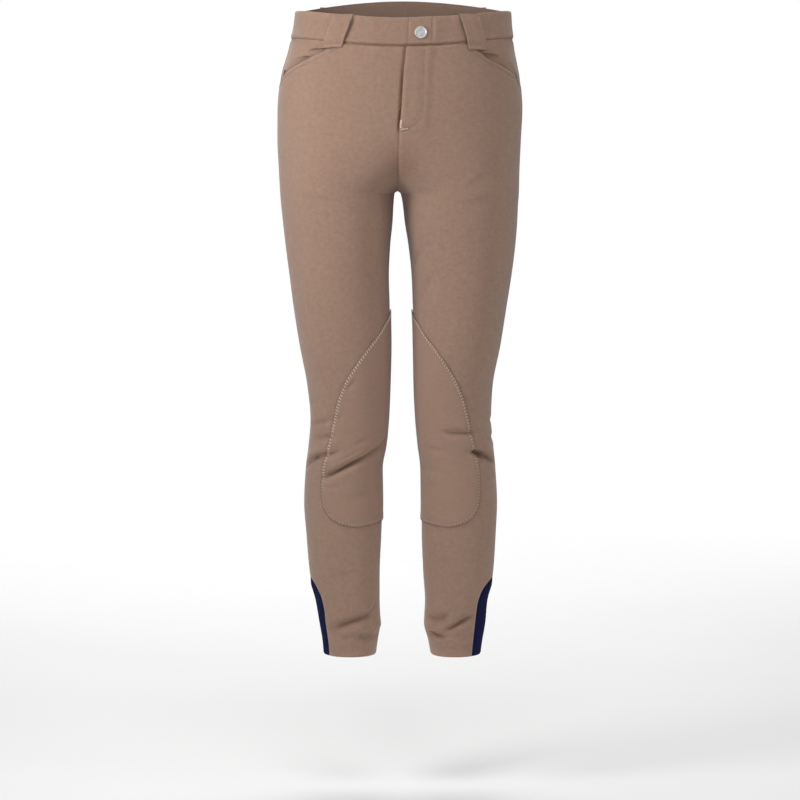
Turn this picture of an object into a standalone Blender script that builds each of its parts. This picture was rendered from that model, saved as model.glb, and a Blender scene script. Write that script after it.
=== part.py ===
"""Knee-patch riding breeches, in the pose they are worn in, as the cloth pieces that are cut and sewn.

Metres, +Z up, the front faces -Y. The origin is the middle of the waist opening.
The wearer's right leg is at -X and the left leg at +X. Every cloth piece is a wall that
lies on one shared surface, which the section table, the crotch curve and the folds give.
"""

import math

import bmesh
import bpy
from mathutils import Vector

OBJECT_NAME = "riding_breeches"

# Cloth walls, and the clearance between pieces that are sewn or laid together
CLOTH = 0.0015
BAND_CLOTH = 0.0022
THIN_CLOTH = 0.0012
SEAM = 0.0003
LEG_RADIUS = 0.050  # turns half a seam's width into an angle at the side seam
BAND_PROUD = 0.0007  # the waistband's face stands this far proud of the panels

# Heights
CROTCH = -0.229
HEM = -0.846
BAND_HEIGHT = 0.036
BAND_SEAM_SIDE = -0.029
BAND_DIP_FRONT = 0.012
BAND_RISE_BACK = 0.019

# Fly: the wearer's left edge laps over the right
FLY_BOTTOM = -0.150
FLY_LEAN = 0.0062  # the lap edge leans this far off the middle at the waistband
FLY_WIDTH = 0.030  # from the lap edge to the end of the raised flap
FLY_FADE = 0.010
FLY_UNDER = 0.005  # how far the right front runs on under the flap
FLY_UNDER_ENDS = (0.023, 0.040)  # it fades out between these heights over the fly's bottom
FLAP_SETTLES = (-0.014, 0.012)  # and the flap lies down between these
FLAP_RAISE = CLOTH + SEAM
FLY_LAP_MOST = 1.3
UNDERLAP_REACH = (-0.004, 0.028)  # from the lap edge
UNDERLAP_END = 0.006  # over the fly's bottom
ZIP_WIDTH = 0.0065
ZIP_END = 0.028
ZIP_SUNK = 0.0001
TAB_WIDTH = 0.031
TAB_LAP = 0.005  # the right waistband stops this far short of the tab's seam
TAB_RAISE = BAND_CLOTH + SEAM
TAB_FADE = 0.022
BUTTON_RADIUS = 0.0080
BUTTON_FROM_EDGE = 0.0165
BUTTON_HEIGHT = -0.0240
BAND_MIDDLE = -0.020  # height at which the waistband's ends are measured
BAND_BACK_COLUMNS = 9
BAND_FRONT_COLUMNS = 12
TAB_COLUMNS = 6

# Half of the button's section, radius and height over the cloth, from rim to centre
BUTTON_PROFILE = (
    (0.0, 0.0), (0.45, 0.0), (0.50, 0.06), (0.94, 0.07), (1.0, 0.13), (1.0, 0.20),
    (0.95, 0.26), (0.86, 0.27), (0.80, 0.235), (0.60, 0.225), (0.0, 0.245),
)
BUTTON_STEPS = 24

# Slant pocket: the opening falls from the waistband seam to the side seam
POCKET_ANGLE = math.radians(57.0)
POCKET_TOP = -0.0380
POCKET_BOTTOM = -0.0840
POCKET_CURVE = 1.35
POCKET_UNDER = 0.012  # the hip facing runs on this far behind the opening's edge
FACING_COLUMNS = 7
FACING_ROWS = 6
FACING_DROP = CLOTH + 3.0 * SEAM
FACING_RISES = (0.006, 0.028)  # over the opening it comes up level with the front

# Belt loops
LOOP_WIDTH = 0.027
LOOP_CLOTH = 0.0016
LOOP_GAP = 0.0036  # room for a belt between loop and waistband
LOOP_BACK_WIDTH = 0.022
LOOP_FOOT = 0.0050
# Columns: name, side, face, angle at the top, angle at the foot, foot below the seam, width
LOOPS = (
    ("belt_loop_front_right", -1, -1, 59.0, 55.5, 0.0075, LOOP_WIDTH),
    ("belt_loop_front_left", 1, -1, 55.5, 51.5, 0.0110, LOOP_WIDTH),
    ("belt_loop_back_right", -1, 1, 46.0, 46.0, LOOP_FOOT, LOOP_BACK_WIDTH),
    ("belt_loop_back_left", 1, 1, 46.0, 46.0, LOOP_FOOT, LOOP_BACK_WIDTH),
)
# Along a belt loop from its top: share of the length, and share of the full stand-off
LOOP_PROFILE = (
    (0.0, 0.0), (0.10, 0.25), (0.20, 0.85), (0.32, 1.0), (0.52, 1.0),
    (0.68, 0.95), (0.80, 0.62), (0.90, 0.12), (1.0, 0.0),
)
LOOP_STEPS_OFF = (-0.0035, -0.0005)  # round the waistband's seam it steps up to the waistband's face
LOOP_TOP_DROP = 0.0005

# Ankle inset of stretch knit at the outer side, as half its opening angle by height
# Columns: height, half angle
INSET = (
    (-0.741, 0.0),
    (-0.753, 23.0),
    (-0.766, 33.0),
    (-0.785, 40.0),
    (-0.805, 44.0),
    (-0.846, 47.0),
)
INSET_SHARE = {-1: 0.86, 1: 1.04}
INSET_SUNK = 0.0004
INSET_TIP = 0.0030  # its point stops this far below the panels' seam
INSET_TIP_WIDTH = 0.14

# Knee patch: the front edge's angle by height. It runs over the inseam to the back
# Columns: height, front angle
PATCH = (
    (-0.388, 174.0),
    (-0.400, 152.0),
    (-0.415, 136.0),
    (-0.435, 118.0),
    (-0.458, 100.0),
    (-0.482, 84.0),
    (-0.510, 72.0),
    (-0.545, 64.0),
    (-0.580, 59.0),
    (-0.612, 57.5),
    (-0.636, 60.0),
    (-0.652, 66.0),
    (-0.662, 75.0),
    (-0.668, 88.0),
    (-0.672, 108.0),
)
PATCH_BACK_SHARE = 0.5  # it reaches this share as far round the back
PATCH_INSEAM_FOOT = -0.665  # where its lower edge meets the inseam
PATCH_ROWS = (-0.35, -0.70)
PATCH_FIRST_COLUMN = {-1: 2, 1: 5}
PATCH_PEAK = 0.004  # its point on the inseam is this far over the table's first row
CUT_LAYERS = ((-1, -0.2), (-1, 0.0), (1, 0.03), (1, 0.2))  # face and Y of the cutter's layers

# Sections of the worn form. Outer and inner are each leg's distances from X = 0,
# mid is the centre seam above the crotch, front and back are depths from Y = 0, and full
# is how far a section's corners fill out past an ellipse.
SECTION_COLUMNS = ("height", "mid", "outer_r", "inner_r", "outer_l", "inner_l", "front", "back", "full")
SECTIONS = (
    (0.040, 0.0040, 0.1370, 0.0, 0.1450, 0.0, 0.0930, 0.0960, 0.050),
    (0.000, 0.0040, 0.1385, 0.0, 0.1465, 0.0, 0.0970, 0.1010, 0.055),
    (-0.040, 0.0020, 0.1470, 0.0, 0.1510, 0.0, 0.1030, 0.1090, 0.065),
    (-0.080, 0.0003, 0.1580, 0.0, 0.1586, 0.0, 0.1070, 0.1170, 0.080),
    (-0.120, 0.0000, 0.1620, 0.0, 0.1620, 0.0, 0.1085, 0.1225, 0.090),
    (-0.160, -0.0012, 0.1624, 0.0, 0.1602, 0.0, 0.1075, 0.1220, 0.085),
    (-0.200, -0.0025, 0.1606, 0.0, 0.1584, 0.0, 0.1040, 0.1160, 0.060),
    (-0.229, -0.0033, 0.1590, 0.00345, 0.1577, -0.00315, 0.1010, 0.1070, 0.045),
    (-0.2315, 0.0, 0.1588, 0.0070, 0.1576, 0.0004, 0.1008, 0.1060, 0.045),
    (-0.246, 0.0, 0.1576, 0.0085, 0.1565, 0.0035, 0.0992, 0.1000, 0.042),
    (-0.270, 0.0, 0.1550, 0.0098, 0.1553, 0.0062, 0.0972, 0.0920, 0.040),
    (-0.300, 0.0, 0.1516, 0.0128, 0.1528, 0.0110, 0.0948, 0.0850, 0.040),
    (-0.340, 0.0, 0.1464, 0.0146, 0.1478, 0.0152, 0.0915, 0.0780, 0.040),
    (-0.380, 0.0, 0.1413, 0.0136, 0.1415, 0.0168, 0.0880, 0.0715, 0.035),
    (-0.430, 0.0, 0.1335, 0.0126, 0.1337, 0.0182, 0.0830, 0.0630, 0.035),
    (-0.490, 0.0, 0.1225, 0.0140, 0.1227, 0.0194, 0.0750, 0.0530, 0.035),
    (-0.530, 0.0, 0.1190, 0.0158, 0.1210, 0.0214, 0.0690, 0.0480, 0.035),
    (-0.565, 0.0, 0.1217, 0.0192, 0.1240, 0.0246, 0.0640, 0.0495, 0.035),
    (-0.597, 0.0, 0.1257, 0.0244, 0.1272, 0.0284, 0.0590, 0.0545, 0.035),
    (-0.645, 0.0, 0.1282, 0.0238, 0.1298, 0.0290, 0.0530, 0.0610, 0.035),
    (-0.680, 0.0, 0.1258, 0.0246, 0.1284, 0.0289, 0.0495, 0.0610, 0.035),
    (-0.741, 0.0, 0.1204, 0.0271, 0.1244, 0.0312, 0.0455, 0.0550, 0.035),
    (-0.775, 0.0, 0.1112, 0.0272, 0.1153, 0.0334, 0.0435, 0.0500, 0.035),
    (-0.805, 0.0, 0.1060, 0.0262, 0.1124, 0.0320, 0.0425, 0.0460, 0.035),
    (-0.830, 0.0, 0.1018, 0.0300, 0.1082, 0.0380, 0.0420, 0.0430, 0.035),
    (-0.846, 0.0, 0.1004, 0.0320, 0.1060, 0.0408, 0.0420, 0.0420, 0.035),
)
BACK_FULL_SHARE = 0.6

# The crotch curve: where the two halves part from one round section, and how late
SPLIT_START = {-1: -0.125, 1: -0.070}
SPLIT_POWER = {-1: 2.0, 1: 2.4}
ARCH_DEPTH = 0.10  # below the crotch the legs draw apart at their inner sides first

# Folds of the worn cloth, each a trough from one angle and height to another.
# Angles in degrees run from the side seam: over the front when positive, over the back when negative.
# Columns: side, angle and height at one end, angle and height at the other, width, depth
FOLDS = (
    (-1, 62.0, -0.605, 166.0, -0.553, 0.0075, 0.0042),
    (-1, 24.0, -0.585, 78.0, -0.570, 0.0065, 0.0032),
    (-1, 28.0, -0.534, 62.0, -0.528, 0.0060, 0.0016),
    (-1, 36.0, -0.553, 72.0, -0.549, 0.0055, 0.0018),
    (-1, 100.0, -0.636, 160.0, -0.618, 0.0090, 0.0016),
    (-1, 52.0, -0.810, 132.0, -0.789, 0.0065, 0.0030),
    (-1, 108.0, -0.823, 176.0, -0.817, 0.0060, 0.0024),
    (1, 74.0, -0.570, 14.0, -0.584, 0.0065, 0.0036),
    (1, 108.0, -0.545, 46.0, -0.546, 0.0070, 0.0018),
    (1, 34.0, -0.556, -10.0, -0.555, 0.0055, 0.0022),
    (1, 30.0, -0.533, -12.0, -0.531, 0.0055, 0.0014),
    (1, 164.0, -0.590, 118.0, -0.600, 0.0075, 0.0018),
    (1, 118.0, -0.811, 56.0, -0.789, 0.0065, 0.0030),
    (1, 158.0, -0.812, 84.0, -0.821, 0.0060, 0.0024),
    (-1, -40.0, -0.556, -150.0, -0.548, 0.0080, 0.0040),
    (-1, -52.0, -0.584, -166.0, -0.572, 0.0075, 0.0036),
    (-1, -66.0, -0.527, -130.0, -0.522, 0.0070, 0.0024),
    (-1, -58.0, -0.806, -142.0, -0.796, 0.0065, 0.0026),
    (1, -46.0, -0.552, -148.0, -0.560, 0.0080, 0.0040),
    (1, -38.0, -0.578, -138.0, -0.588, 0.0075, 0.0034),
    (1, -74.0, -0.524, -140.0, -0.529, 0.0070, 0.0022),
    (1, -62.0, -0.798, -146.0, -0.808, 0.0065, 0.0026),
    (-1, -84.0, -0.262, -140.0, -0.244, 0.0110, 0.0034),
    (1, -80.0, -0.258, -138.0, -0.243, 0.0110, 0.0034),
)
FOLD_RADIUS = 0.052  # turns a fold's angle into a distance along the leg's surface
FOLD_FLANK = 0.75  # how strongly the cloth rises beside a trough
FOLD_REACH = 0.08  # a fold further off than this in height is passed over

# Heights of the panels' rows below the shaped top, closer at the crotch, knees and ankles.
# Round the crotch a row slopes, from its height at the side seam to its height at the centre.
PANEL_TOP_ROWS = (0.0, 0.3, 0.65, 1.0)
PANEL_TOP_END = -0.128
# Columns: height at the side, height at the centre
CROTCH_ROWS = (
    (-0.146, -0.148),
    (-0.164, -0.168),
    (-0.180, -0.186),
    (-0.195, -0.201),
    (-0.208, -0.213),
    (-0.219, -0.221),
    (-0.228, -0.2255),
    (-0.236, -0.2280),
    (-0.243, CROTCH),
    (-0.250, -0.2310),
    (-0.258, -0.2350),
    (-0.268, -0.2430),
    (-0.282, -0.2580),
    (-0.303, -0.2850),
)
LEVEL_ROWS = (
    -0.333, -0.370, -0.420, -0.470, -0.512, -0.524, -0.534, -0.543, -0.552, -0.561,
    -0.570, -0.579, -0.588, -0.598, -0.608, -0.620, -0.640, -0.668, -0.705, -0.741,
    -0.753, -0.766, -0.779, -0.790, -0.800, -0.810, -0.820, -0.831, HEM,
)
PANEL_COLUMNS = 10
COLUMNS_TURN = (-0.125, -0.275)  # between these heights the columns spread from a quarter turn to a half
COLUMN_PULL = 5
ROW_LEVEL_SHARE = 0.2  # a sloping row stays level over this share from the side seam
TOP_PASSES = 4

EVEN_DIAGONALS = 1e-7
ANGLE_STEP = 0.01
HEIGHT_STEP = 0.0005

# Colours
TAN = (0.330, 0.235, 0.175)
TAN_PATCH = (0.320, 0.226, 0.167)
TAN_DARK = (0.270, 0.190, 0.140)
NAVY = (0.008, 0.011, 0.050)
PEWTER = (0.600, 0.590, 0.580)
BRASS = (0.480, 0.370, 0.200)


def smooth(start, end, value):
    """0 at start, 1 at end, with an S curve between."""
    t = min(max((value - start) / (end - start), 0.0), 1.0)
    return t * t * (3.0 - 2.0 * t)


def curve_through(points):
    """A smooth curve through (x, y) points that never overshoots them."""
    points = sorted(points)
    xs = [p[0] for p in points]
    ys = [p[1] for p in points]
    spans = [b - a for a, b in zip(xs, xs[1:])]
    rates = [(b - a) / h for a, b, h in zip(ys, ys[1:], spans)]
    slopes = [rates[0]]
    for left, right in zip(rates, rates[1:]):
        slopes.append(2.0 * left * right / (left + right) if left * right > 0.0 else 0.0)
    slopes.append(rates[-1])

    def value(x):
        x = min(max(x, xs[0]), xs[-1])
        i = 0
        while i < len(spans) - 1 and x > xs[i + 1]:
            i += 1
        h = spans[i]
        t = (x - xs[i]) / h
        start = (1.0 + 2.0 * t) * (1.0 - t) ** 2 * ys[i] + t * (1.0 - t) ** 2 * h * slopes[i]
        end = t * t * (3.0 - 2.0 * t) * ys[i + 1] + t * t * (t - 1.0) * h * slopes[i + 1]
        return start + end

    return value


CURVES = {
    name: curve_through([(row[0], row[index]) for row in SECTIONS])
    for index, name in enumerate(SECTION_COLUMNS[1:], 1)
}
inset_angle = curve_through([(height, math.radians(angle)) for height, angle in INSET])
patch_angle = curve_through([(height, math.radians(angle)) for height, angle in PATCH])


def outline(side, face, z):
    """One half's section: middle, centre, outer and inner half-width, lean, depth and fullness."""
    letter = "r" if side < 0 else "l"
    outer = CURVES["outer_" + letter](z)
    front = CURVES["front"](z)
    back = CURVES["back"](z)
    full = CURVES["full"](z) * (1.0 if face < 0 else BACK_FULL_SHARE)
    mid = 0.0
    start = SPLIT_START[face]
    if z < CROTCH:
        inner = CURVES["inner_" + letter](z)
        closed = CURVES["inner_" + letter](CROTCH)
        settled = closed + (inner - closed) * smooth(CROTCH, CROTCH - ARCH_DEPTH, z)
        center = 0.5 * (outer + settled)
        half_in = center - inner
    else:
        mid = CURVES["mid"](z)
        outer -= side * mid
        center = 0.0
        half_in = outer
        if z < start:
            # the leg's centre moves out smoothly while the inner curve closes on the middle
            down = (start - z) / (start - CROTCH)
            power = SPLIT_POWER[face]
            half_in = 0.5 * (outer - 0.5 * SEAM) * (1.0 + power * (1.0 - down))
            center = half_in * down ** power + 0.5 * SEAM * down
    return mid, center, outer - center, half_in, 0.5 * (back - front), 0.5 * (back + front), full


def corner(full, angle):
    return 1.0 + full * math.sin(2.0 * angle) ** 2


def fold_height(side, face, angle, z):
    """How far the folds move the cloth out, or in when negative."""
    around = -face * angle
    total = 0.0
    for row_side, angle_a, height_a, angle_b, height_b, width, depth in FOLDS:
        if row_side != side or abs(z - 0.5 * (height_a + height_b)) > FOLD_REACH:
            continue
        start = math.radians(angle_a)
        turn = math.remainder(around - start, math.tau) * FOLD_RADIUS
        rise = z - height_a
        run_x = math.radians(angle_b - angle_a) * FOLD_RADIUS
        run_z = height_b - height_a
        along = (turn * run_x + rise * run_z) / (run_x ** 2 + run_z ** 2)
        along = min(max(along, 0.0), 1.0)
        away = math.hypot(turn - along * run_x, rise - along * run_z) / width
        total -= depth * (1.0 - FOLD_FLANK * away ** 2) * math.exp(-away ** 2)
    return total


def surface(side, face, angle, z):
    """The cloth's outer face at an angle from the side seam and a height."""
    mid, center, half_out, half_in, lean, depth, full = outline(side, face, z)
    half = half_out if math.cos(angle) > 0.0 else half_in
    across = math.cos(angle) * corner(full, angle)
    deep = math.sin(angle) * corner(full, angle)
    out = Vector((side * math.cos(angle) / half, face * math.sin(angle) / depth, 0.0)).normalized()
    point = Vector((mid + side * (center + half * across), lean + face * depth * deep, z))
    return point + out * fold_height(side, face, angle, z)


def surface_normal(side, face, angle, z):
    around = surface(side, face, angle + ANGLE_STEP, z) - surface(side, face, angle - ANGLE_STEP, z)
    down = surface(side, face, angle, z - HEIGHT_STEP) - surface(side, face, angle, z + HEIGHT_STEP)
    normal = around.cross(down).normalized()
    return normal * (-side * face)


def angle_at(side, face, x, z):
    """The angle where a section reaches a given X, measured from the side seam."""
    mid, center, half_out, half_in, _, _, full = outline(side, face, z)
    target = side * (x - mid) - center
    low, high = 0.0, math.pi
    for _ in range(40):
        angle = 0.5 * (low + high)
        half = half_out if math.cos(angle) > 0.0 else half_in
        if half * math.cos(angle) * corner(full, angle) > target:
            low = angle
        else:
            high = angle
    return 0.5 * (low + high)


def arc(side, face, angle, z):
    """Metres along the section for one radian at this place."""
    step = surface(side, face, angle + ANGLE_STEP, z) - surface(side, face, angle - ANGLE_STEP, z)
    return step.length / (2.0 * ANGLE_STEP)


def band_seam(face, angle):
    """Height of the seam under the waistband."""
    if face < 0:
        return BAND_SEAM_SIDE - BAND_DIP_FRONT * math.sin(angle) ** 3
    return BAND_SEAM_SIDE + BAND_RISE_BACK * math.sin(angle) ** 2


def pocket_edge(angle):
    """Height of the slant pocket's opening."""
    share = (angle / POCKET_ANGLE) ** POCKET_CURVE
    return POCKET_BOTTOM + (POCKET_TOP - POCKET_BOTTOM) * share


def lap_edge(z):
    """X of the fly's edge, which becomes the centre seam below the fly."""
    top = BAND_SEAM_SIDE - BAND_DIP_FRONT
    share = min(max((z - FLY_BOTTOM) / (top - FLY_BOTTOM), 0.0), FLY_LAP_MOST)
    return CURVES["mid"](z) + FLY_LEAN * share


def flap_raise(point, z):
    """How far the left front stands out over the fly."""
    reach = point.x - lap_edge(z)
    across = 1.0 - smooth(FLY_WIDTH, FLY_WIDTH + FLY_FADE, reach)
    return FLAP_RAISE * across * smooth(FLAP_SETTLES[0], FLAP_SETTLES[1], z - FLY_BOTTOM)


def tab_raise(point, z):
    """How far the waistband stands out over its own under end."""
    if point.y > 0.0:
        return 0.0
    reach = point.x - lap_edge(z)
    return TAB_RAISE * (1.0 - smooth(TAB_WIDTH, TAB_WIDTH + TAB_FADE, reach))


def new_material(name, colour, roughness, metallic=0.0):
    material = bpy.data.materials.new(name)
    material.use_nodes = True
    shader = material.node_tree.nodes["Principled BSDF"]
    shader.inputs["Base Color"].default_value = (*colour, 1.0)
    shader.inputs["Roughness"].default_value = roughness
    shader.inputs["Metallic"].default_value = metallic
    return material


def add_object(name, mesh, collection, material):
    mesh.materials.append(material)
    piece = bpy.data.objects.new(name, mesh)
    collection.objects.link(piece)
    return piece


def wall(name, rows, outer, thickness, collection, material):
    """A closed cloth wall over a grid of (side, face, angle, height) places.

    outer is how far its face stands off the shared surface, as a number or a function
    of the surface point and height. Each cell is split on its shorter diagonal, measured on
    the shared surface, so that walls with the same grid never cross.
    """
    mesh = bpy.data.meshes.new(name)
    bm = bmesh.new()
    base = []
    faces_out = []
    faces_in = []
    for row in rows:
        line = []
        line_out = []
        line_in = []
        for side, face, angle, z in row:
            point = surface(side, face, angle, z)
            normal = surface_normal(side, face, angle, z)
            offset = outer(point, z) if callable(outer) else outer
            line.append(point)
            line_out.append(bm.verts.new(point + normal * offset))
            line_in.append(bm.verts.new(point + normal * (offset - thickness)))
        base.append(line)
        faces_out.append(line_out)
        faces_in.append(line_in)
    last_row = len(rows) - 1
    last_column = len(rows[0]) - 1
    for i in range(last_row):
        for j in range(last_column):
            falling = (base[i][j] - base[i + 1][j + 1]).length
            rising = (base[i][j + 1] - base[i + 1][j]).length
            if abs(falling - rising) < EVEN_DIAGONALS:
                turned_first = rows[i][j + 1][2] < rows[i][j][2]
            else:
                turned_first = rising < falling
            for grid, turned in ((faces_out, False), (faces_in, True)):
                corners = [grid[i][j], grid[i][j + 1], grid[i + 1][j + 1], grid[i + 1][j]]
                if turned_first:
                    corners = corners[1:] + corners[:1]
                for triangle in (corners[:3], [corners[0], corners[2], corners[3]]):
                    bm.faces.new(triangle[::-1] if turned else triangle)
    rim = [(0, j) for j in range(last_column)]
    rim += [(i, last_column) for i in range(last_row)]
    rim += [(last_row, j) for j in range(last_column, 0, -1)]
    rim += [(i, 0) for i in range(last_row, 0, -1)]
    for (i, j), (k, m) in zip(rim, rim[1:] + rim[:1]):
        bm.faces.new([faces_out[k][m], faces_out[i][j], faces_in[i][j], faces_in[k][m]])
    bmesh.ops.recalc_face_normals(bm, faces=bm.faces)
    bm.to_mesh(mesh)
    bm.free()
    mesh.shade_smooth()
    mesh.set_sharp_from_angle(angle=math.radians(50.0))
    return add_object(name, mesh, collection, material)


def spread(start, end, count):
    return [start + (end - start) * i / (count - 1) for i in range(count)]


def side_edge(side, z):
    """Angle where a panel begins: the side seam, or the inset's edge near the hem."""
    opening = inset_angle(z) * INSET_SHARE[side] if z < INSET[0][0] else 0.0
    return opening + 0.5 * SEAM / LEG_RADIUS


def center_edge(side, face, z):
    """Angle where a panel ends: the fly, the centre seam or the inseam."""
    if z < CROTCH:
        return math.pi - 0.5 * SEAM / arc(side, face, math.pi, z)
    x = CURVES["mid"](z)
    if face < 0:
        x = lap_edge(z)
        if side < 0:
            x += (FLY_UNDER + SEAM) * smooth(FLY_UNDER_ENDS[0], FLY_UNDER_ENDS[1], z - FLY_BOTTOM)
    x += side * 0.5 * SEAM
    angle = angle_at(side, face, x, z)
    return angle - 0.5 * SEAM / arc(side, face, angle, z)


def column_angle(first, last, z, step):
    """A panel column's angle: even round the leg, and drawn to the centre edge only beside it."""
    even = 0.5 * math.pi * (1.0 + smooth(COLUMNS_TURN[0], COLUMNS_TURN[1], z))
    pull = step ** COLUMN_PULL
    return first + ((even - first) * (1.0 - pull) + (last - first) * pull) * step


def panel_rows(side, face):
    """The grid of a front or back: shaped at the top, then level rows to the hem."""
    rows = []
    for share in PANEL_TOP_ROWS:
        row = []
        first = side_edge(side, PANEL_TOP_END)
        for step in spread(0.0, 1.0, PANEL_COLUMNS + 1):
            z = PANEL_TOP_END
            for _ in range(TOP_PASSES):
                angle = column_angle(first, center_edge(side, face, z), z, step)
                top = band_seam(face, angle) - SEAM
                if face < 0:
                    top = min(top, pocket_edge(angle))
                z = top + (PANEL_TOP_END - top) * share
            row.append((side, face, angle, z))
        rows.append(row)
    for side_z, center_z in CROTCH_ROWS + tuple((z, z) for z in LEVEL_ROWS):
        first = side_edge(side, side_z)
        last = center_edge(side, face, center_z)
        row = []
        for step in spread(0.0, 1.0, PANEL_COLUMNS + 1):
            z = side_z + (center_z - side_z) * smooth(ROW_LEVEL_SHARE, 1.0, step)
            row.append((side, face, column_angle(first, last, z, step), z))
        rows.append(row)
    return rows


def build_panels(collection, cloth):
    for side, word in ((-1, "right"), (1, "left")):
        raised = flap_raise if side > 0 else 0.0
        wall("front_" + word, panel_rows(side, -1), raised, CLOTH, collection, cloth)
        wall("back_" + word, panel_rows(side, 1), 0.0, CLOTH, collection, cloth)


def band_column(side, face, angle):
    """One upright of the waistband, from its top edge to its seam."""
    seam = band_seam(face, angle)
    return [(side, face, angle, z) for z in spread(seam + BAND_HEIGHT, seam, 3)]


def band_angles(side, x_front):
    """Places round one half of the waist, from the centre back to an X at the front."""
    back_end = angle_at(side, 1, CURVES["mid"](0.0) + side * 0.5 * SEAM, 0.0)
    front_end = angle_at(side, -1, x_front, BAND_MIDDLE)
    places = [(1, angle) for angle in spread(back_end, 0.0, BAND_BACK_COLUMNS)]
    places += [(-1, angle) for angle in spread(0.0, front_end, BAND_FRONT_COLUMNS)[1:]]
    return places


def build_waistband(collection, cloth):
    edge = lap_edge(BAND_MIDDLE)
    seam_x = edge + TAB_WIDTH
    ends = {-1: seam_x - TAB_LAP, 1: seam_x + 0.5 * SEAM}
    outer = {-1: BAND_PROUD, 1: lambda point, z: BAND_PROUD + tab_raise(point, z)}
    for side, word in ((-1, "right"), (1, "left")):
        columns = [band_column(side, face, angle) for face, angle in band_angles(side, ends[side])]
        rows = [list(row) for row in zip(*columns)]
        wall("waistband_" + word, rows, outer[side], BAND_CLOTH, collection, cloth)
    columns = []
    for x in spread(edge, seam_x - 0.5 * SEAM, TAB_COLUMNS):
        columns.append(band_column(1, -1, angle_at(1, -1, x, BAND_MIDDLE)))
    rows = [list(row) for row in zip(*columns)]
    wall("waistband_tab", rows, BAND_PROUD + TAB_RAISE, BAND_CLOTH, collection, cloth)


def strip_rows(x_left, x_right, z_top, z_bottom, columns, count):
    """A grid over the front between two X distances from the lap edge."""
    rows = []
    for z in spread(z_top, z_bottom, count):
        row = []
        for x in spread(x_left, x_right, columns):
            row.append((1, -1, angle_at(1, -1, lap_edge(z) + x, z), z))
        rows.append(row)
    return rows


def build_fly(collection, cloth, metal):
    top = BAND_SEAM_SIDE - BAND_DIP_FRONT - 2.0 * SEAM
    under = strip_rows(*UNDERLAP_REACH, top, FLY_BOTTOM + UNDERLAP_END, 5, 7)
    wall("fly_underlap", under, -(CLOTH + 2.0 * SEAM), THIN_CLOTH, collection, cloth)
    start = FLY_UNDER + 2.0 * SEAM
    teeth = strip_rows(start, start + ZIP_WIDTH, top, FLY_BOTTOM + ZIP_END, 2, 6)
    wall("fly_zip", teeth, -ZIP_SUNK, CLOTH - ZIP_SUNK, collection, metal)


def facing_offset(side):
    """The hip facing lies behind the front at the opening, and level with the back above it."""
    def offset(point, z):
        angle = angle_at(side, -1, point.x, z)
        above = z - pocket_edge(angle)
        return -FACING_DROP * (1.0 - smooth(FACING_RISES[0], FACING_RISES[1], above))
    return offset


def build_pockets(collection, cloth):
    """Hip facings, on the fronts' own columns so that the two walls never cross."""
    for side, word in ((-1, "right"), (1, "left")):
        columns = []
        for step in spread(0.0, FACING_COLUMNS / PANEL_COLUMNS, FACING_COLUMNS + 1):
            column = []
            for share in spread(0.0, 1.0, FACING_ROWS):
                z = PANEL_TOP_END
                for _ in range(TOP_PASSES):
                    first = side_edge(side, z)
                    angle = column_angle(first, center_edge(side, -1, z), z, step)
                    top = band_seam(-1, angle) - SEAM
                    low = min(top, pocket_edge(angle)) - POCKET_UNDER
                    z = top + (low - top) * share
                column.append((side, -1, angle, z))
            columns.append(column)
        rows = [list(row) for row in zip(*columns)]
        wall("pocket_facing_" + word, rows, facing_offset(side), THIN_CLOTH, collection, cloth)


def loop_wall(name, place, seam, below, width, collection, cloth):
    """A belt loop: place(across, share, z) is where it lies at a distance across its width."""
    z_top = seam + BAND_HEIGHT - LOOP_TOP_DROP
    z_foot = seam - below
    rows = []
    offsets = {}
    for share, stand in LOOP_PROFILE:
        z = z_top + (z_foot - z_top) * share
        base = SEAM + BAND_PROUD * smooth(LOOP_STEPS_OFF[0], LOOP_STEPS_OFF[1], z - seam)
        offsets[z] = base + LOOP_GAP * stand + LOOP_CLOTH
        rows.append([place(across, share, z) for across in spread(-0.5 * width, 0.5 * width, 4)])
    return wall(name, rows, lambda p, z: offsets[z], LOOP_CLOTH, collection, cloth)


def build_belt_loops(collection, cloth):
    for name, side, face, angle_top, angle_foot, below, width in LOOPS:
        start = math.radians(angle_top)
        end = math.radians(angle_foot)
        seam = band_seam(face, 0.5 * (start + end))

        def place(across, share, z, side=side, face=face, start=start, end=end):
            angle = start + (end - start) * share
            return side, face, angle + across / arc(side, face, angle, z), z

        loop_wall(name, place, seam, below, width, collection, cloth)

    seam = band_seam(1, 0.5 * math.pi)

    def place(across, share, z):
        side = 1 if across > 0.0 else -1
        middle = angle_at(side, 1, CURVES["mid"](z), z)
        return side, 1, middle - abs(across) / arc(side, 1, middle, z), z

    loop_wall("belt_loop_back_center", place, seam, LOOP_FOOT, LOOP_BACK_WIDTH, collection, cloth)


def patch_outline(side, face):
    """The patch seen from one face, as (x, z) points round its edge."""
    points = []
    for z, _ in PATCH:
        angle = patch_angle(z)
        if face > 0:
            angle = math.pi - PATCH_BACK_SHARE * (math.pi - angle)
        points.append((surface(side, face, angle, z).x, z))
    points.append((0.0, PATCH_INSEAM_FOOT))
    points.append((0.0, PATCH[0][0] + PATCH_PEAK))
    return points


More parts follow.
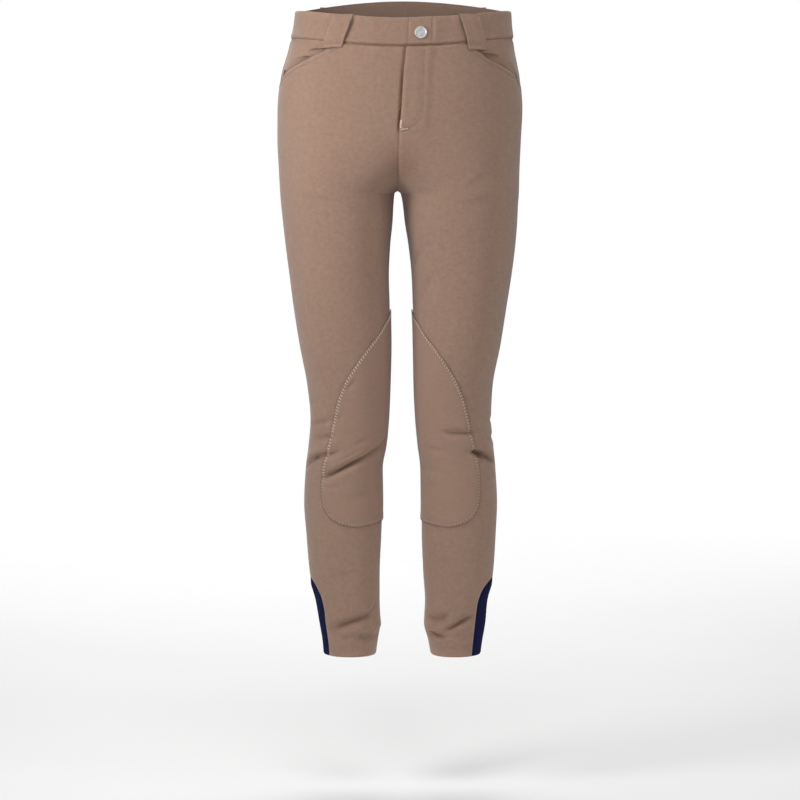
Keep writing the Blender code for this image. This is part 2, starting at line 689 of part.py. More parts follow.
def patch_cutter(side, word, cutters):
    """A block with the front's outline before the leg and the back's behind it."""
    bm = bmesh.new()
    loops = []
    for face, y in CUT_LAYERS:
        loops.append([bm.verts.new((x, y, z)) for x, z in patch_outline(side, face)])
    count = len(loops[0])
    for near, far in zip(loops, loops[1:]):
        for i in range(count):
            j = (i + 1) % count
            bm.faces.new([near[i], near[j], far[j], far[i]])
    bm.faces.new(loops[0][::-1])
    bm.faces.new(loops[-1])
    bmesh.ops.recalc_face_normals(bm, faces=bm.faces)
    mesh = bpy.data.meshes.new("cut_patch_" + word)
    bm.to_mesh(mesh)
    bm.free()
    cutter = bpy.data.objects.new("cut_patch_" + word, mesh)
    cutters.objects.link(cutter)
    cutter.hide_render = True
    cutter.display_type = "WIRE"
    return cutter


def build_knee_patches(collection, cutters, cloth):
    for side, word in ((-1, "right"), (1, "left")):
        front = panel_rows(side, -1)
        back = panel_rows(side, 1)
        rows = []
        for over, under in zip(front, back):
            if PATCH_ROWS[1] < over[-1][3] < PATCH_ROWS[0]:
                rows.append(over[PATCH_FIRST_COLUMN[-1]:] + under[PATCH_FIRST_COLUMN[1]:][::-1])
        name = "knee_patch_" + word
        patch = wall(name, rows, SEAM + THIN_CLOTH, THIN_CLOTH, collection, cloth)
        cut = patch.modifiers.new("Outline", "BOOLEAN")
        cut.operation = "INTERSECT"
        cut.solver = "EXACT"
        cut.object = patch_cutter(side, word, cutters)


def build_insets(collection, knit):
    for side, word in ((-1, "right"), (1, "left")):
        top, first = INSET[0][0], INSET[1][0]
        tip = top - INSET_TIP
        heights = [(tip, inset_angle(first) * INSET_TIP_WIDTH)]
        heights += [(z, inset_angle(z)) for z in LEVEL_ROWS if z < top]
        rows = []
        for z, opening in heights:
            reach = opening * INSET_SHARE[side] - 0.5 * SEAM / LEG_RADIUS
            row = [(side, 1, angle, z) for angle in spread(reach, 0.0, 4)]
            row += [(side, -1, angle, z) for angle in spread(0.0, reach, 4)[1:]]
            rows.append(row)
        wall("ankle_inset_" + word, rows, -INSET_SUNK, THIN_CLOTH, collection, knit)


def build_button(collection, metal):
    """A turned tack button, seated on the waistband tab."""
    x = lap_edge(BUTTON_HEIGHT) + BUTTON_FROM_EDGE
    angle = angle_at(1, -1, x, BUTTON_HEIGHT)
    normal = surface_normal(1, -1, angle, BUTTON_HEIGHT)
    seat = surface(1, -1, angle, BUTTON_HEIGHT) + normal * (BAND_PROUD + TAB_RAISE + SEAM)
    mesh = bpy.data.meshes.new("button")
    bm = bmesh.new()
    profile = []
    for radius, height in BUTTON_PROFILE[::-1]:
        profile.append(bm.verts.new((BUTTON_RADIUS * radius, 0.0, BUTTON_RADIUS * height)))
    for first, second in zip(profile, profile[1:]):
        bm.edges.new((first, second))
    bm.to_mesh(mesh)
    bm.free()
    button = add_object("button", mesh, collection, metal)
    turn = button.modifiers.new("Turn", "SCREW")
    turn.steps = BUTTON_STEPS
    turn.render_steps = BUTTON_STEPS
    turn.use_merge_vertices = True
    turn.merge_threshold = 0.00005
    turn.use_normal_calculate = True
    button.location = seat
    button.rotation_euler = normal.to_track_quat("Z", "Y").to_euler()


def main():
    for item in list(bpy.data.objects):
        bpy.data.objects.remove(item)
    collection = bpy.data.collections.new(OBJECT_NAME)
    cutters = bpy.data.collections.new("cutters")
    bpy.context.scene.collection.children.link(collection)
    bpy.context.scene.collection.children.link(cutters)
    cloth = new_material("brushed_stretch_cloth", TAN, 0.9)
    patch = new_material("patch_cloth", TAN_PATCH, 0.92)
    inner = new_material("inner_cloth", TAN_DARK, 0.92)
    knit = new_material("navy_knit", NAVY, 0.8)
    metal = new_material("pewter", PEWTER, 0.35, 1.0)
    brass = new_material("zip_brass", BRASS, 0.4, 1.0)
    build_panels(collection, cloth)
    build_waistband(collection, cloth)
    build_fly(collection, inner, brass)
    build_pockets(collection, cloth)
    build_belt_loops(collection, cloth)
    build_knee_patches(collection, cutters, patch)
    build_insets(collection, knit)
    build_button(collection, metal)


main()
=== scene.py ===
"""Knee-patch riding breeches: the finish of every cut and sewn piece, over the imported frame.

Metres, +Z up, the front faces -Y, the wearer's right leg at -X. Every cloth piece is a thin
shell on one shared worn form, so panels meet at their seams and the patches lie on the legs.
"""

import math

import bmesh
import bpy
import numpy as np
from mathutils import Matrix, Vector


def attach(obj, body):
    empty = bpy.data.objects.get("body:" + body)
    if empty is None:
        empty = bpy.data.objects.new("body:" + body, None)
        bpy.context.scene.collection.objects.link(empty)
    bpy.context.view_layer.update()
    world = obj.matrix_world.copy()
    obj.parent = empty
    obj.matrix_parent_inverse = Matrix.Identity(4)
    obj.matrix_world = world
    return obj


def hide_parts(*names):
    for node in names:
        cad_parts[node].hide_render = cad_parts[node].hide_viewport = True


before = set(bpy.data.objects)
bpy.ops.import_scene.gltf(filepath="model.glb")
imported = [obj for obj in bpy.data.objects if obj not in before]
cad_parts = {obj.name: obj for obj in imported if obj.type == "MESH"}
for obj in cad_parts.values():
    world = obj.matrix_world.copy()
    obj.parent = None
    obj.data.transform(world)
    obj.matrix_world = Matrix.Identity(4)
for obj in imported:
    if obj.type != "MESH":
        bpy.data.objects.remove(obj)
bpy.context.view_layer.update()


# ---- Fronts and backs -------------------------------------------------------------------------
# Four leg panels of brushed stretch twill, cut from waist to ankle and seamed at the sides,
# inseams and centre. They hang from the waistband and are drawn smooth over the hips and legs.

CROTCH = -0.229
HEM = -0.846
SEAM = 0.0003
BAND_SEAM_SIDE = -0.029
BAND_DIP_FRONT = 0.012
BAND_RISE_BACK = 0.019
FLY_BOTTOM = -0.150
FLY_LEAN = 0.0062
FLY_WIDTH = 0.030
FLY_FADE = 0.010
FLY_UNDER = 0.005
FLY_UNDER_ENDS = (0.023, 0.040)
FLAP_SETTLES = (-0.014, 0.012)
FLAP_RAISE = 0.0018
FLY_LAP_MOST = 1.3
POCKET_ANGLE = math.radians(57.0)
POCKET_DRAG = {-1: 0.0025, 1: 0.0065}  # worn, each opening is drawn this much lower
POCKET_DRAG_EASE = 0.22
POCKET_TOP = -0.0380
POCKET_BOTTOM = -0.0840
POCKET_CURVE = 1.35

MM = 0.001
# Level sections of the worn form in mm, the last column in thousandths: how full its corners are
SECTION_COLUMNS = ("height", "mid", "outer_r", "inner_r", "outer_l", "inner_l", "front", "back", "full")
SECTIONS = (
    (40, 4, 137, 0, 145, 0, 93, 96, 50),
    (0, 4, 138.5, 0, 146.5, 0, 97, 101, 55),
    (-40, 2, 147, 0, 151, 0, 103, 109, 65),
    (-80, 0.3, 158, 0, 158.6, 0, 107, 117, 80),
    (-120, 0, 162, 0, 162, 0, 108.5, 122.5, 90),
    (-160, -1.2, 162.4, 0, 160.2, 0, 107.5, 122, 85),
    (-200, -2.5, 160.6, 0, 158.4, 0, 104, 116, 60),
    (-229, -3.3, 159, 3.45, 157.7, -3.15, 101, 107, 45),
    (-231.5, 0, 158.8, 7, 157.6, 0.4, 100.8, 106, 45),
    (-246, 0, 157.6, 8.5, 156.5, 3.5, 99.2, 100, 42),
    (-270, 0, 155, 9.8, 155.3, 6.2, 97.2, 92, 40),
    (-300, 0, 151.6, 12.8, 152.8, 11, 94.8, 85, 40),
    (-340, 0, 146.4, 14.6, 147.8, 15.2, 91.5, 78, 40),
    (-380, 0, 141.3, 13.6, 141.5, 16.8, 88, 71.5, 35),
    (-430, 0, 133.5, 12.6, 133.7, 18.2, 83, 63, 35),
    (-490, 0, 122.5, 14, 122.7, 19.4, 75, 53, 35),
    (-530, 0, 119, 15.8, 121, 21.4, 69, 48, 35),
    (-565, 0, 121.7, 19.2, 124, 24.6, 64, 49.5, 35),
    (-597, 0, 125.7, 24.4, 127.2, 28.4, 59, 54.5, 35),
    (-645, 0, 128.2, 23.8, 129.8, 29, 53, 61, 35),
    (-680, 0, 125.8, 24.6, 128.4, 28.9, 49.5, 61, 35),
    (-741, 0, 120.4, 27.1, 124.4, 31.2, 45.5, 55, 35),
    (-775, 0, 111.2, 27.2, 115.3, 33.4, 43.5, 50, 35),
    (-805, 0, 106, 26.2, 112.4, 32, 42.5, 46, 35),
    (-830, 0, 101.8, 30, 108.2, 38, 42, 43, 35),
    (-846, 0, 100.4, 32, 106, 40.8, 42, 42, 35),
)
BACK_FULL_SHARE = 0.6
SPLIT_START = {-1: -0.125, 1: -0.070}
SPLIT_POWER = {-1: 2.0, 1: 2.4}
ARCH_DEPTH = 0.10

# Ankle opening at the outer side: height, and half its angle on the right and on the left leg
INSET = (
    (-0.741, 0.0, 0.0),
    (-0.748, 23.0, 29.0),
    (-0.757, 33.0, 41.0),
    (-0.768, 37.5, 44.5),
    (-0.785, 38.5, 47.0),
    (-0.805, 36.0, 48.0),
    (-0.846, 36.0, 48.0),
)

# Folds, each a trough from one place to another. Angles in degrees run from the side seam, over
# the front when positive and over the back when negative. The other measures are in mm.
# Columns by leg: angle and height at one end, angle and height at the other, width, depth
FOLDS = {
    -1: (
        (62, -605, 166, -553, 7.5, 4.2),
        (24, -585, 78, -570, 6.5, 3.2),
        (28, -534, 62, -528, 6, 1.6),
        (36, -553, 72, -549, 5.5, 1.8),
        (100, -636, 160, -618, 9, 1.6),
        (52, -810, 132, -789, 6.5, 3),
        (108, -823, 176, -817, 6, 2.4),
        (-40, -556, -150, -548, 8, 4),
        (-52, -584, -166, -572, 7.5, 3.6),
        (-66, -527, -130, -522, 7, 2.4),
        (-58, -806, -142, -796, 6.5, 2.6),
        (-84, -262, -140, -244, 11, 3.4),
    ),
    1: (
        (74, -570, 14, -584, 6.5, 3.6),
        (108, -545, 46, -546, 7, 1.8),
        (34, -556, -10, -555, 5.5, 2.2),
        (30, -533, -12, -531, 5.5, 1.4),
        (164, -590, 118, -600, 7.5, 1.8),
        (118, -811, 56, -789, 6.5, 3),
        (158, -812, 84, -821, 6, 2.4),
        (-46, -552, -148, -560, 8, 4),
        (-38, -578, -138, -588, 7.5, 3.4),
        (-74, -524, -140, -529, 7, 2.2),
        (-62, -798, -146, -808, 6.5, 2.6),
        (-80, -258, -138, -243, 11, 3.4),
    ),
}
# Finer creases, in the same columns with a bow: how far the middle rises over the straight line.
# A depth below nothing is a ridge.
CREASES = {
    -1: (
        (52, -611, 126, -574.5, 1.4, 6.4, 3.8),
        (108, -582, 174, -562, 1, 7.5, 2),
        (66, -596.5, 128, -566.5, 1.2, 7, -2),
        (68, -590.5, 124, -562.5, 0.6, 5, 1.2),
        (10, -595, 56, -573, 0.4, 5.2, 3.4),
        (46, -576.5, 82, -571, 0, 5, 2.2),
        (16, -584, 52, -566.5, 0, 6, -1.6),
        (18, -535.5, 68, -528.5, 0, 4.6, 2),
        (60, -529.5, 86, -523, 0, 6, 1.3),
        (32, -554.5, 76, -549, 0.6, 4.2, 1.8),
        (84, -490, 104, -473, 0, 4.2, 1.3),
        (54, -618.2, 86, -617.5, 0, 4.5, 1.2),
        (96, -566, 150, -540, 2, 5.2, 1),
        (128, -590, 172, -578, -1.5, 6, 1.4),
        (20, -508, 52, -502.5, 1.2, 6, 1),
        (58, -742, 118, -730, -3, 10, 1.2),
        (42, -812, 140, -792, 1.2, 10.5, 3.1),
        (58, -818, 130, -805.5, 0, 7.5, -3.2),
        (116, -799, 154, -774, -1, 8.5, 3),
        (96, -818, 150, -812, -1, 8.4, 3),
        (140, -803, 178, -806, 0, 11, -1.6),
        (88, -836.5, 150, -829, 1, 5.2, 1.2),
        (60, -835, 104, -840, -0.8, 4.8, 1),
        (30, -66, 52, -52, 0.8, 5, 0.7),
        (60, -46, 76, -49.5, 0.4, 3.8, 0.6),
        (38, -47.8, 57, -45.5, -0.6, 3.4, 1.8),
        (26, -57, 50, -50.5, 1, 4.6, -1.5),
        (84, -226, 50, -194, -3, 9, 1.4),
        (92, -246, 56, -230, -2.4, 8.5, 1.2),
        (-44, -542, -122, -533, -4, 5.6, 2),
        (-66, -571, -156, -560, 3, 5.2, 2),
        (-52, -603, -124, -595, -2.6, 6.2, 1.6),
        (-46, -750, -128, -736, 3.4, 10, 1.4),
        (-70, -818, -150, -812, -3, 6, 1.8),
        (-78, -833, -144, -826, 1.4, 5, 1.2),
        (-62, -278, -118, -257, -4, 8.5, 1.6),
        (-70, -234, -90, -211, 1, 9, 1.2),
        (-88, -80, -60, -65, 1.2, 7, 0.8),
    ),
    1: (
        (53, -52, 36, -58, 0.6, 3.4, 1.7),
        (27, -62, 18, -85, 0, 3.6, 1.8),
        (72, -567, 42, -575.8, 0, 5.2, 8),
        (58, -570.8, 8, -588.8, 0.8, 5.6, 4.4),
        (66, -561, 18, -573.5, 0, 7, -2.4),
        (114, -543, 54, -544.8, -1.2, 5.6, 2.4),
        (110, -535, 58, -536, 0, 7.5, -1.2),
        (92, -484, 58, -487.5, 0.6, 4.8, 0.8),
        (54, -597, 20, -604.5, 1, 5.2, 1.2),
        (150, -563, 100, -568.5, -1.4, 5.2, 1),
        (166, -612, 124, -622.5, 1.2, 5.8, 1),
        (104, -741, 50, -730, -3, 10, 1.2),
        (170, -804, 72, -791.5, -11, 7, -3),
        (160, -788, 94, -786.5, -9, 10, 4.6),
        (116, -812.5, 46, -789, 0, 5.2, 4.8),
        (156, -811.5, 104, -821.4, -1.6, 5, 4),
        (134, -833, 84, -838.5, 1, 5, 1.1),
        (70, -825, 48, -812, 1, 4.8, 1.2),
        (30, -66, 50, -53, 0.8, 5, 0.7),
        (84, -226, 50, -196, -3, 9, 1.4),
        (118, -326, 150, -380, 0, 6, 2.2),
        (124, -290, 158, -330, 0, 7, 1.6),
        (90, -248, 56, -234, -2.4, 8.5, 1.2),
        (-44, -537, -124, -544, -3.6, 5.6, 2),
        (-62, -565, -150, -575, 3.2, 5.2, 2),
        (-54, -599, -126, -607, -2, 6.2, 1.6),
        (-48, -741, -124, -753, 3, 10, 1.4),
        (-66, -808, -148, -817, -3.4, 6, 1.8),
        (-80, -824, -146, -832, 1.2, 5, 1.2),
        (-64, -274, -120, -258, -4, 8.5, 1.6),
        (-72, -232, -90, -212, 1, 9, 1.2),
        (-86, -82, -58, -67, 1.2, 7, 0.8),
    ),
}
CREASE_LEAN = 0.40  # a crease is this much steeper over its line than under it
FOLD_BLUNT = 0.45  # share of a fold's depth that is left at its ends
FOLD_FADE = 0.3
FOLD_RADIUS = 0.052
FOLD_FLANK = 0.75


def smooth(start, end, value):
    """0 at start, 1 at end, with an S curve between."""
    t = np.clip((value - start) / (end - start), 0.0, 1.0)
    return t * t * (3.0 - 2.0 * t)


def curve_through(points):
    """A smooth curve through (x, y) points that never overshoots them."""
    xs, ys = np.array(sorted(points)).T
    spans = np.diff(xs)
    rates = np.diff(ys) / spans
    slopes = np.concatenate([rates[:1], np.zeros(len(xs) - 2), rates[-1:]])
    both = rates[:-1] * rates[1:]
    total = np.where(both > 0.0, rates[:-1] + rates[1:], 1.0)
    slopes[1:-1] = np.where(both > 0.0, 2.0 * both / total, 0.0)

    def value(x):
        x = np.clip(x, xs[0], xs[-1])
        i = np.clip(np.searchsorted(xs, x, side="right") - 1, 0, len(spans) - 1)
        h = spans[i]
        t = (x - xs[i]) / h
        start = (1.0 + 2.0 * t) * (1.0 - t) ** 2 * ys[i] + t * (1.0 - t) ** 2 * h * slopes[i]
        end = t * t * (3.0 - 2.0 * t) * ys[i + 1] + t * t * (t - 1.0) * h * slopes[i + 1]
        return start + end

    return value


WORN = {
    name: curve_through([(MM * row[0], MM * row[index]) for row in SECTIONS])
    for index, name in enumerate(SECTION_COLUMNS[1:], 1)
}
inset_angle = {
    side: curve_through([(row[0], math.radians(row[column])) for row in INSET])
    for side, column in ((-1, 1), (1, 2))
}


def section(side, face, z):
    """One half's outline at a height: middle, centre, half-widths, lean, depth and fullness."""
    letter = "r" if side < 0 else "l"
    outer = WORN["outer_" + letter](z)
    inner = WORN["inner_" + letter](z)
    front = WORN["front"](z)
    back = WORN["back"](z)
    full = WORN["full"](z) * np.where(face < 0, 1.0, BACK_FULL_SHARE)
    below = z < CROTCH
    mid = np.where(below, 0.0, WORN["mid"](z))
    outer = outer - side * mid
    closed = WORN["inner_" + letter](CROTCH)
    settled = closed + (inner - closed) * smooth(CROTCH, CROTCH - ARCH_DEPTH, z)
    start = np.where(face < 0, SPLIT_START[-1], SPLIT_START[1])
    power = np.where(face < 0, SPLIT_POWER[-1], SPLIT_POWER[1])
    down = np.clip((start - z) / (start - CROTCH), 0.0, 1.0)
    parting = 0.5 * (outer - 0.5 * SEAM) * (1.0 + power * (1.0 - down))
    shared = z >= start
    center = np.where(shared, 0.0, parting * down ** power + 0.5 * SEAM * down)
    half_in = np.where(shared, outer, parting)
    center = np.where(below, 0.5 * (outer + settled), center)
    half_in = np.where(below, center - inner, half_in)
    return mid, center, outer - center, half_in, 0.5 * (back - front), 0.5 * (back + front), full


def fold_height(side, turn, z):
    """How far the folds and creases move the cloth out, or in when negative."""
    total = np.zeros(np.shape(turn))
    straight = [row[:4] + (0.0,) + row[4:] + (0.0, FOLD_BLUNT) for row in FOLDS[side]]
    for row in straight + [row + (CREASE_LEAN, 0.0) for row in CREASES[side]]:
        angle_a, height_a, angle_b, height_b, *sizes, lean, blunt = row
        height_a, height_b, bow, width, depth = (MM * size for size in (height_a, height_b, *sizes))
        run_x = math.radians(angle_b - angle_a) * FOLD_RADIUS
        run_z = height_b - height_a
        length = math.hypot(run_x, run_z)
        off = (turn - math.radians(angle_a) + math.pi) % math.tau - math.pi
        across = off * FOLD_RADIUS
        rise = z - height_a
        share = (across * run_x + rise * run_z) / length ** 2
        along = np.clip(share, 0.0, 1.0)
        over = (rise * run_x - across * run_z) / length * math.copysign(1.0, run_x)
        over = (over - 4.0 * bow * along * (1.0 - along)) / width
        over = over / (1.0 - lean * np.tanh(over) * math.copysign(1.0, depth))
        away = over ** 2 + ((share - along) * length / width) ** 2
        fade = smooth(0.0, FOLD_FADE, along) * smooth(0.0, FOLD_FADE, 1.0 - along)
        fade = blunt + (1.0 - blunt) * fade
        total -= depth * fade * (1.0 - FOLD_FLANK * away) * np.exp(-away)
    return total


def surface(side, turn, z):
    """The cloth's face at a turn from the side seam (front positive, back negative) and height."""
    turn = (turn + math.pi) % math.tau - math.pi
    face = np.where(turn < 0.0, 1.0, -1.0)
    angle = np.abs(turn)
    mid, center, half_out, half_in, lean, depth, full = section(side, face, z)
    cos, sin = np.cos(angle), np.sin(angle)
    half = np.where(cos > 0.0, half_out, half_in)
    corner = 1.0 + full * np.sin(2.0 * angle) ** 2
    out_x = side * cos / half
    out_y = face * sin / depth
    lift = fold_height(side, turn, z) / np.hypot(out_x, out_y)
    x = mid + side * (center + half * cos * corner) + out_x * lift
    y = lean + face * depth * sin * corner + out_y * lift
    return np.stack([x, y, z + np.zeros_like(x)], axis=-1)


def surface_normal(side, turn, z):
    """The way the cloth's face looks at a turn and height."""
    step, rise = 0.006, 0.0003
    around = surface(side, turn + step, z) - surface(side, turn - step, z)
    up = surface(side, turn, z + rise) - surface(side, turn, z - rise)
    normal = -side * np.cross(around, up)
    return normal / np.linalg.norm(normal, axis=-1, keepdims=True)


def seam_faced(normal, nearness):
    """Normals turned into the upright plane of the centre seam beside it, so that halves meet there."""
    flat = normal * (1.0 - nearness[..., None] * np.array([1.0, 0.0, 0.0]))
    flat = flat + nearness[..., None] * np.array([0.0, 0.0, -0.002])
    return flat / np.linalg.norm(flat, axis=-1, keepdims=True)


def turn_at(side, face, x, z):
    """The turn where a section reaches a given X."""
    mid, center, half_out, half_in, _, _, full = section(side, face, z)
    target = side * (x - mid) - center
    low = np.zeros(np.shape(target))
    high = low + math.pi
    for _ in range(34):
        angle = 0.5 * (low + high)
        half = np.where(np.cos(angle) > 0.0, half_out, half_in)
        short = half * np.cos(angle) * (1.0 + full * np.sin(2.0 * angle) ** 2) > target
        low = np.where(short, angle, low)
        high = np.where(short, high, angle)
    return -face * 0.5 * (low + high)


def band_seam(turn):
    """Height of the seam under the waistband."""
    dip = BAND_SEAM_SIDE - BAND_DIP_FRONT * np.sin(np.abs(turn)) ** 3
    rise = BAND_SEAM_SIDE + BAND_RISE_BACK * np.sin(turn) ** 2
    return np.where(turn < 0.0, rise, dip)


def pocket_edge(side, turn):
    """Height of the slant pocket's opening, on the fronts only."""
    share = np.clip(turn / POCKET_ANGLE, 0.0, 3.0) ** POCKET_CURVE
    drag = POCKET_DRAG[side] * smooth(POCKET_ANGLE, POCKET_ANGLE - POCKET_DRAG_EASE, turn)
    return POCKET_BOTTOM + (POCKET_TOP - POCKET_BOTTOM) * share - drag


def lap_edge(z):
    """X of the fly's edge, which becomes the centre seam below the fly."""
    top = BAND_SEAM_SIDE - BAND_DIP_FRONT
    share = np.clip((z - FLY_BOTTOM) / (top - FLY_BOTTOM), 0.0, FLY_LAP_MOST)
    return WORN["mid"](z) + FLY_LEAN * share


def side_turn(side, z):
    """Where a panel begins: the side seam, or the ankle inset's edge near the hem."""
    return np.where(z < INSET[0][0], inset_angle[side](z), 0.0)


def center_turn(side, face, z):
    """Where a panel ends: the fly, the centre seam or the inseam."""
    x = WORN["mid"](z)
    if face < 0:
        x = lap_edge(z)
        if side < 0:
            x = x + FLY_UNDER * smooth(FLY_UNDER_ENDS[0], FLY_UNDER_ENDS[1], z - FLY_BOTTOM)
    return np.where(z < CROTCH, math.pi, np.abs(turn_at(side, face, x, np.maximum(z, CROTCH))))


# Rows of the panels below the hips slope round the crotch: height at the side seam and the centre
PANEL_TOP_END = -0.128
CROTCH_ROWS = (
    (-0.146, -0.148),
    (-0.164, -0.168),
    (-0.180, -0.186),
    (-0.195, -0.201),
    (-0.208, -0.213),
    (-0.219, -0.221),
    (-0.228, -0.2255),
    (-0.236, -0.2280),
    (-0.243, CROTCH),
    (-0.250, -0.2310),
    (-0.258, -0.2350),
    (-0.268, -0.2430),
    (-0.282, -0.2580),
    (-0.303, -0.2850),
)
ROW_LEVEL_SHARE = 0.2
CELL = 0.0025
RIM_STEPS = (0.0, 0.0004, 0.0010, 0.0019)


def row_heights(side):
    """Side and centre heights of a leg's rows, a cell apart along the edge that runs furthest."""
    pairs = np.array(((PANEL_TOP_END, PANEL_TOP_END),) + CROTCH_ROWS + ((-0.333, -0.333), (HEM, HEM)))
    fine = np.linspace(0.0, len(pairs) - 1.0, 60 * len(pairs))
    side_z = np.interp(fine, range(len(pairs)), pairs[:, 0])
    center_z = np.interp(fine, range(len(pairs)), pairs[:, 1])
    steps = np.abs(np.diff(side_z))
    for face in (-1, 1):
        edge = surface(side, -face * center_turn(side, face, center_z), center_z)
        steps = np.maximum(steps, np.linalg.norm(np.diff(edge, axis=0), axis=1))
    run = np.concatenate([[0.0], np.cumsum(steps)])
    marks = np.linspace(0.0, run[-1], int(run[-1] / CELL))[1:]
    marks = np.concatenate([marks[:-1], run[-1] - np.array(RIM_STEPS[:0:-1]), marks[-1:]])
    marks = np.sort(marks)
    return np.interp(marks, run, side_z), np.interp(marks, run, center_z)


def places_along(length, count):
    """Distances along rows of these lengths: close at both ends, even between."""
    ends = np.array(RIM_STEPS)
    share = np.linspace(0.0, 1.0, count)[1:-1]
    middle = ends[-1] + (length[:, None] - 2.0 * ends[-1]) * share
    start = np.repeat(ends[None], len(length), axis=0)
    return np.concatenate([start, middle, length[:, None] - ends[::-1]], axis=1)


def run_along(points, axis):
    """Distance run along a grid of points, from its first row or column."""
    steps = np.linalg.norm(np.diff(points, axis=axis), axis=-1)
    zero = np.zeros_like(np.take(steps, [0], axis=axis))
    return np.concatenate([zero, np.cumsum(steps, axis=axis)], axis=axis)


def panel_grid(side, face, columns):
    """Turns and heights of a front or back, from its shaped top to the hem."""
    side_z, center_z = row_heights(side)
    top_rows = np.array(RIM_STEPS[:-1]) / (0.9 * abs(PANEL_TOP_END))
    top_rows = np.concatenate([top_rows, np.linspace(0.02, 1.0, int(0.095 / CELL))])
    share = np.repeat(np.linspace(0.0, 1.0, columns + 2 * len(RIM_STEPS) - 2)[None],
                      len(top_rows) + len(side_z), axis=0)
    center_now = np.concatenate([np.full(len(top_rows), PANEL_TOP_END), center_z])
    side_now = np.concatenate([np.full(len(top_rows), PANEL_TOP_END), side_z])
    for _ in range(5):
        first = side_turn(side, side_now)
        last = center_turn(side, face, center_now)
        angle = first[:, None] + (last - first)[:, None] * share
        top = band_seam(-face * angle[: len(top_rows)])
        if face < 0:
            top = np.minimum(top, pocket_edge(side, angle[: len(top_rows)]))
        upper = top + (PANEL_TOP_END - top) * top_rows[:, None]
        slope = smooth(ROW_LEVEL_SHARE, 1.0, share[len(top_rows):])
        lower = side_z[:, None] + (center_z - side_z)[:, None] * slope
        z = np.concatenate([upper, lower])
        center_now[: len(top_rows)] = z[: len(top_rows), -1]
        run = run_along(surface(side, -face * angle, z), 1)
        wanted = places_along(run[:, -1], columns)
        share = np.stack([np.interp(w, r, s) for w, r, s in zip(wanted, run, share)])
    return -face * angle, z


# How a border turns in: its depth and how far it reaches over the cloth
SEWN = (0.0008, 0.0030)
DEEP_SEAM = (0.0017, 0.0034)
FREE = (0.0006, 0.0013)
LAPPED = (0.0009, 0.0024)
COVERED = (0.0, 0.001)
SHELL = 0.0013
EDGE_NEAR = 0.006
# Shade painted into the cloth's colour: it starts in folds this deep and is full in folds this deep
FOLD_SHADE_START = 0.0012
FOLD_SHADE_END = 0.0085
CROTCH_SHADE = 0.55
CROTCH_SHADE_WIDE = 0.026
CROTCH_SHADE_HIGH = 0.034
CROTCH_SHADE_MIDDLE = -0.196


def cloth_shell(name, side, turn, z, raised, thickness, borders, right_side=0.0, center_seam=False,
                shaded=0.0):
    """A thin cloth wall over a grid of turns and heights.

    borders are how its first column, last column, top row and foot row turn in, right_side is
    added to the outer face alone, center_seam says that the last column meets the other half, and
    shaded is how much shade is painted into its colour, in a seam's channel or where it lies close
    under another piece.
    """
    base = surface(side, turn, z)
    normal = surface_normal(side, turn, z)
    across = run_along(base, 1)
    down = run_along(base, 0)
    distances = (across, across[:, -1:] - across, down, down[-1:] - down)
    if center_seam:
        beside = (1.0 - smooth(0.0, EDGE_NEAR, distances[1])) * (z > CROTCH)
        normal = seam_faced(normal, beside)
    dip = np.zeros(turn.shape)
    near = np.zeros(turn.shape)
    for distance, (depth, reach) in zip(distances, borders):
        dip = np.maximum(dip, depth * (1.0 - smooth(0.0, reach, distance)))
        if depth > 0.0:
            near = np.maximum(near, 1.0 - smooth(0.0, EDGE_NEAR, distance))
    raised = raised + np.zeros(turn.shape)
    outer = base + normal * (raised - dip + right_side)[..., None]
    inner = base + normal * (raised - thickness)[..., None]
    middle = across[:, across.shape[1] // 2][:, None]
    weave = np.stack([across - middle, down, np.zeros_like(down)], axis=-1)
    return shell_mesh(name, outer, inner, weave, near, fold_height(side, turn, z), shaded)


def crotch_shade(points):
    """How much the cloth is shaded where the legs part."""
    across = points[..., 0] / CROTCH_SHADE_WIDE
    up = (points[..., 2] - CROTCH_SHADE_MIDDLE) / CROTCH_SHADE_HIGH
    return CROTCH_SHADE * np.exp(-across ** 2 - up ** 2)


def mark(mesh, name, values):
    """Gives a mesh a named number at each point."""
    mesh.attributes.new(name, "FLOAT", "POINT").data.foreach_set("value", np.ravel(values))


def add_object(name, data):
    """A new object in the scene that holds a mesh, a light or the camera."""
    item = bpy.data.objects.new(name, data)
    bpy.context.scene.collection.objects.link(item)
    return item


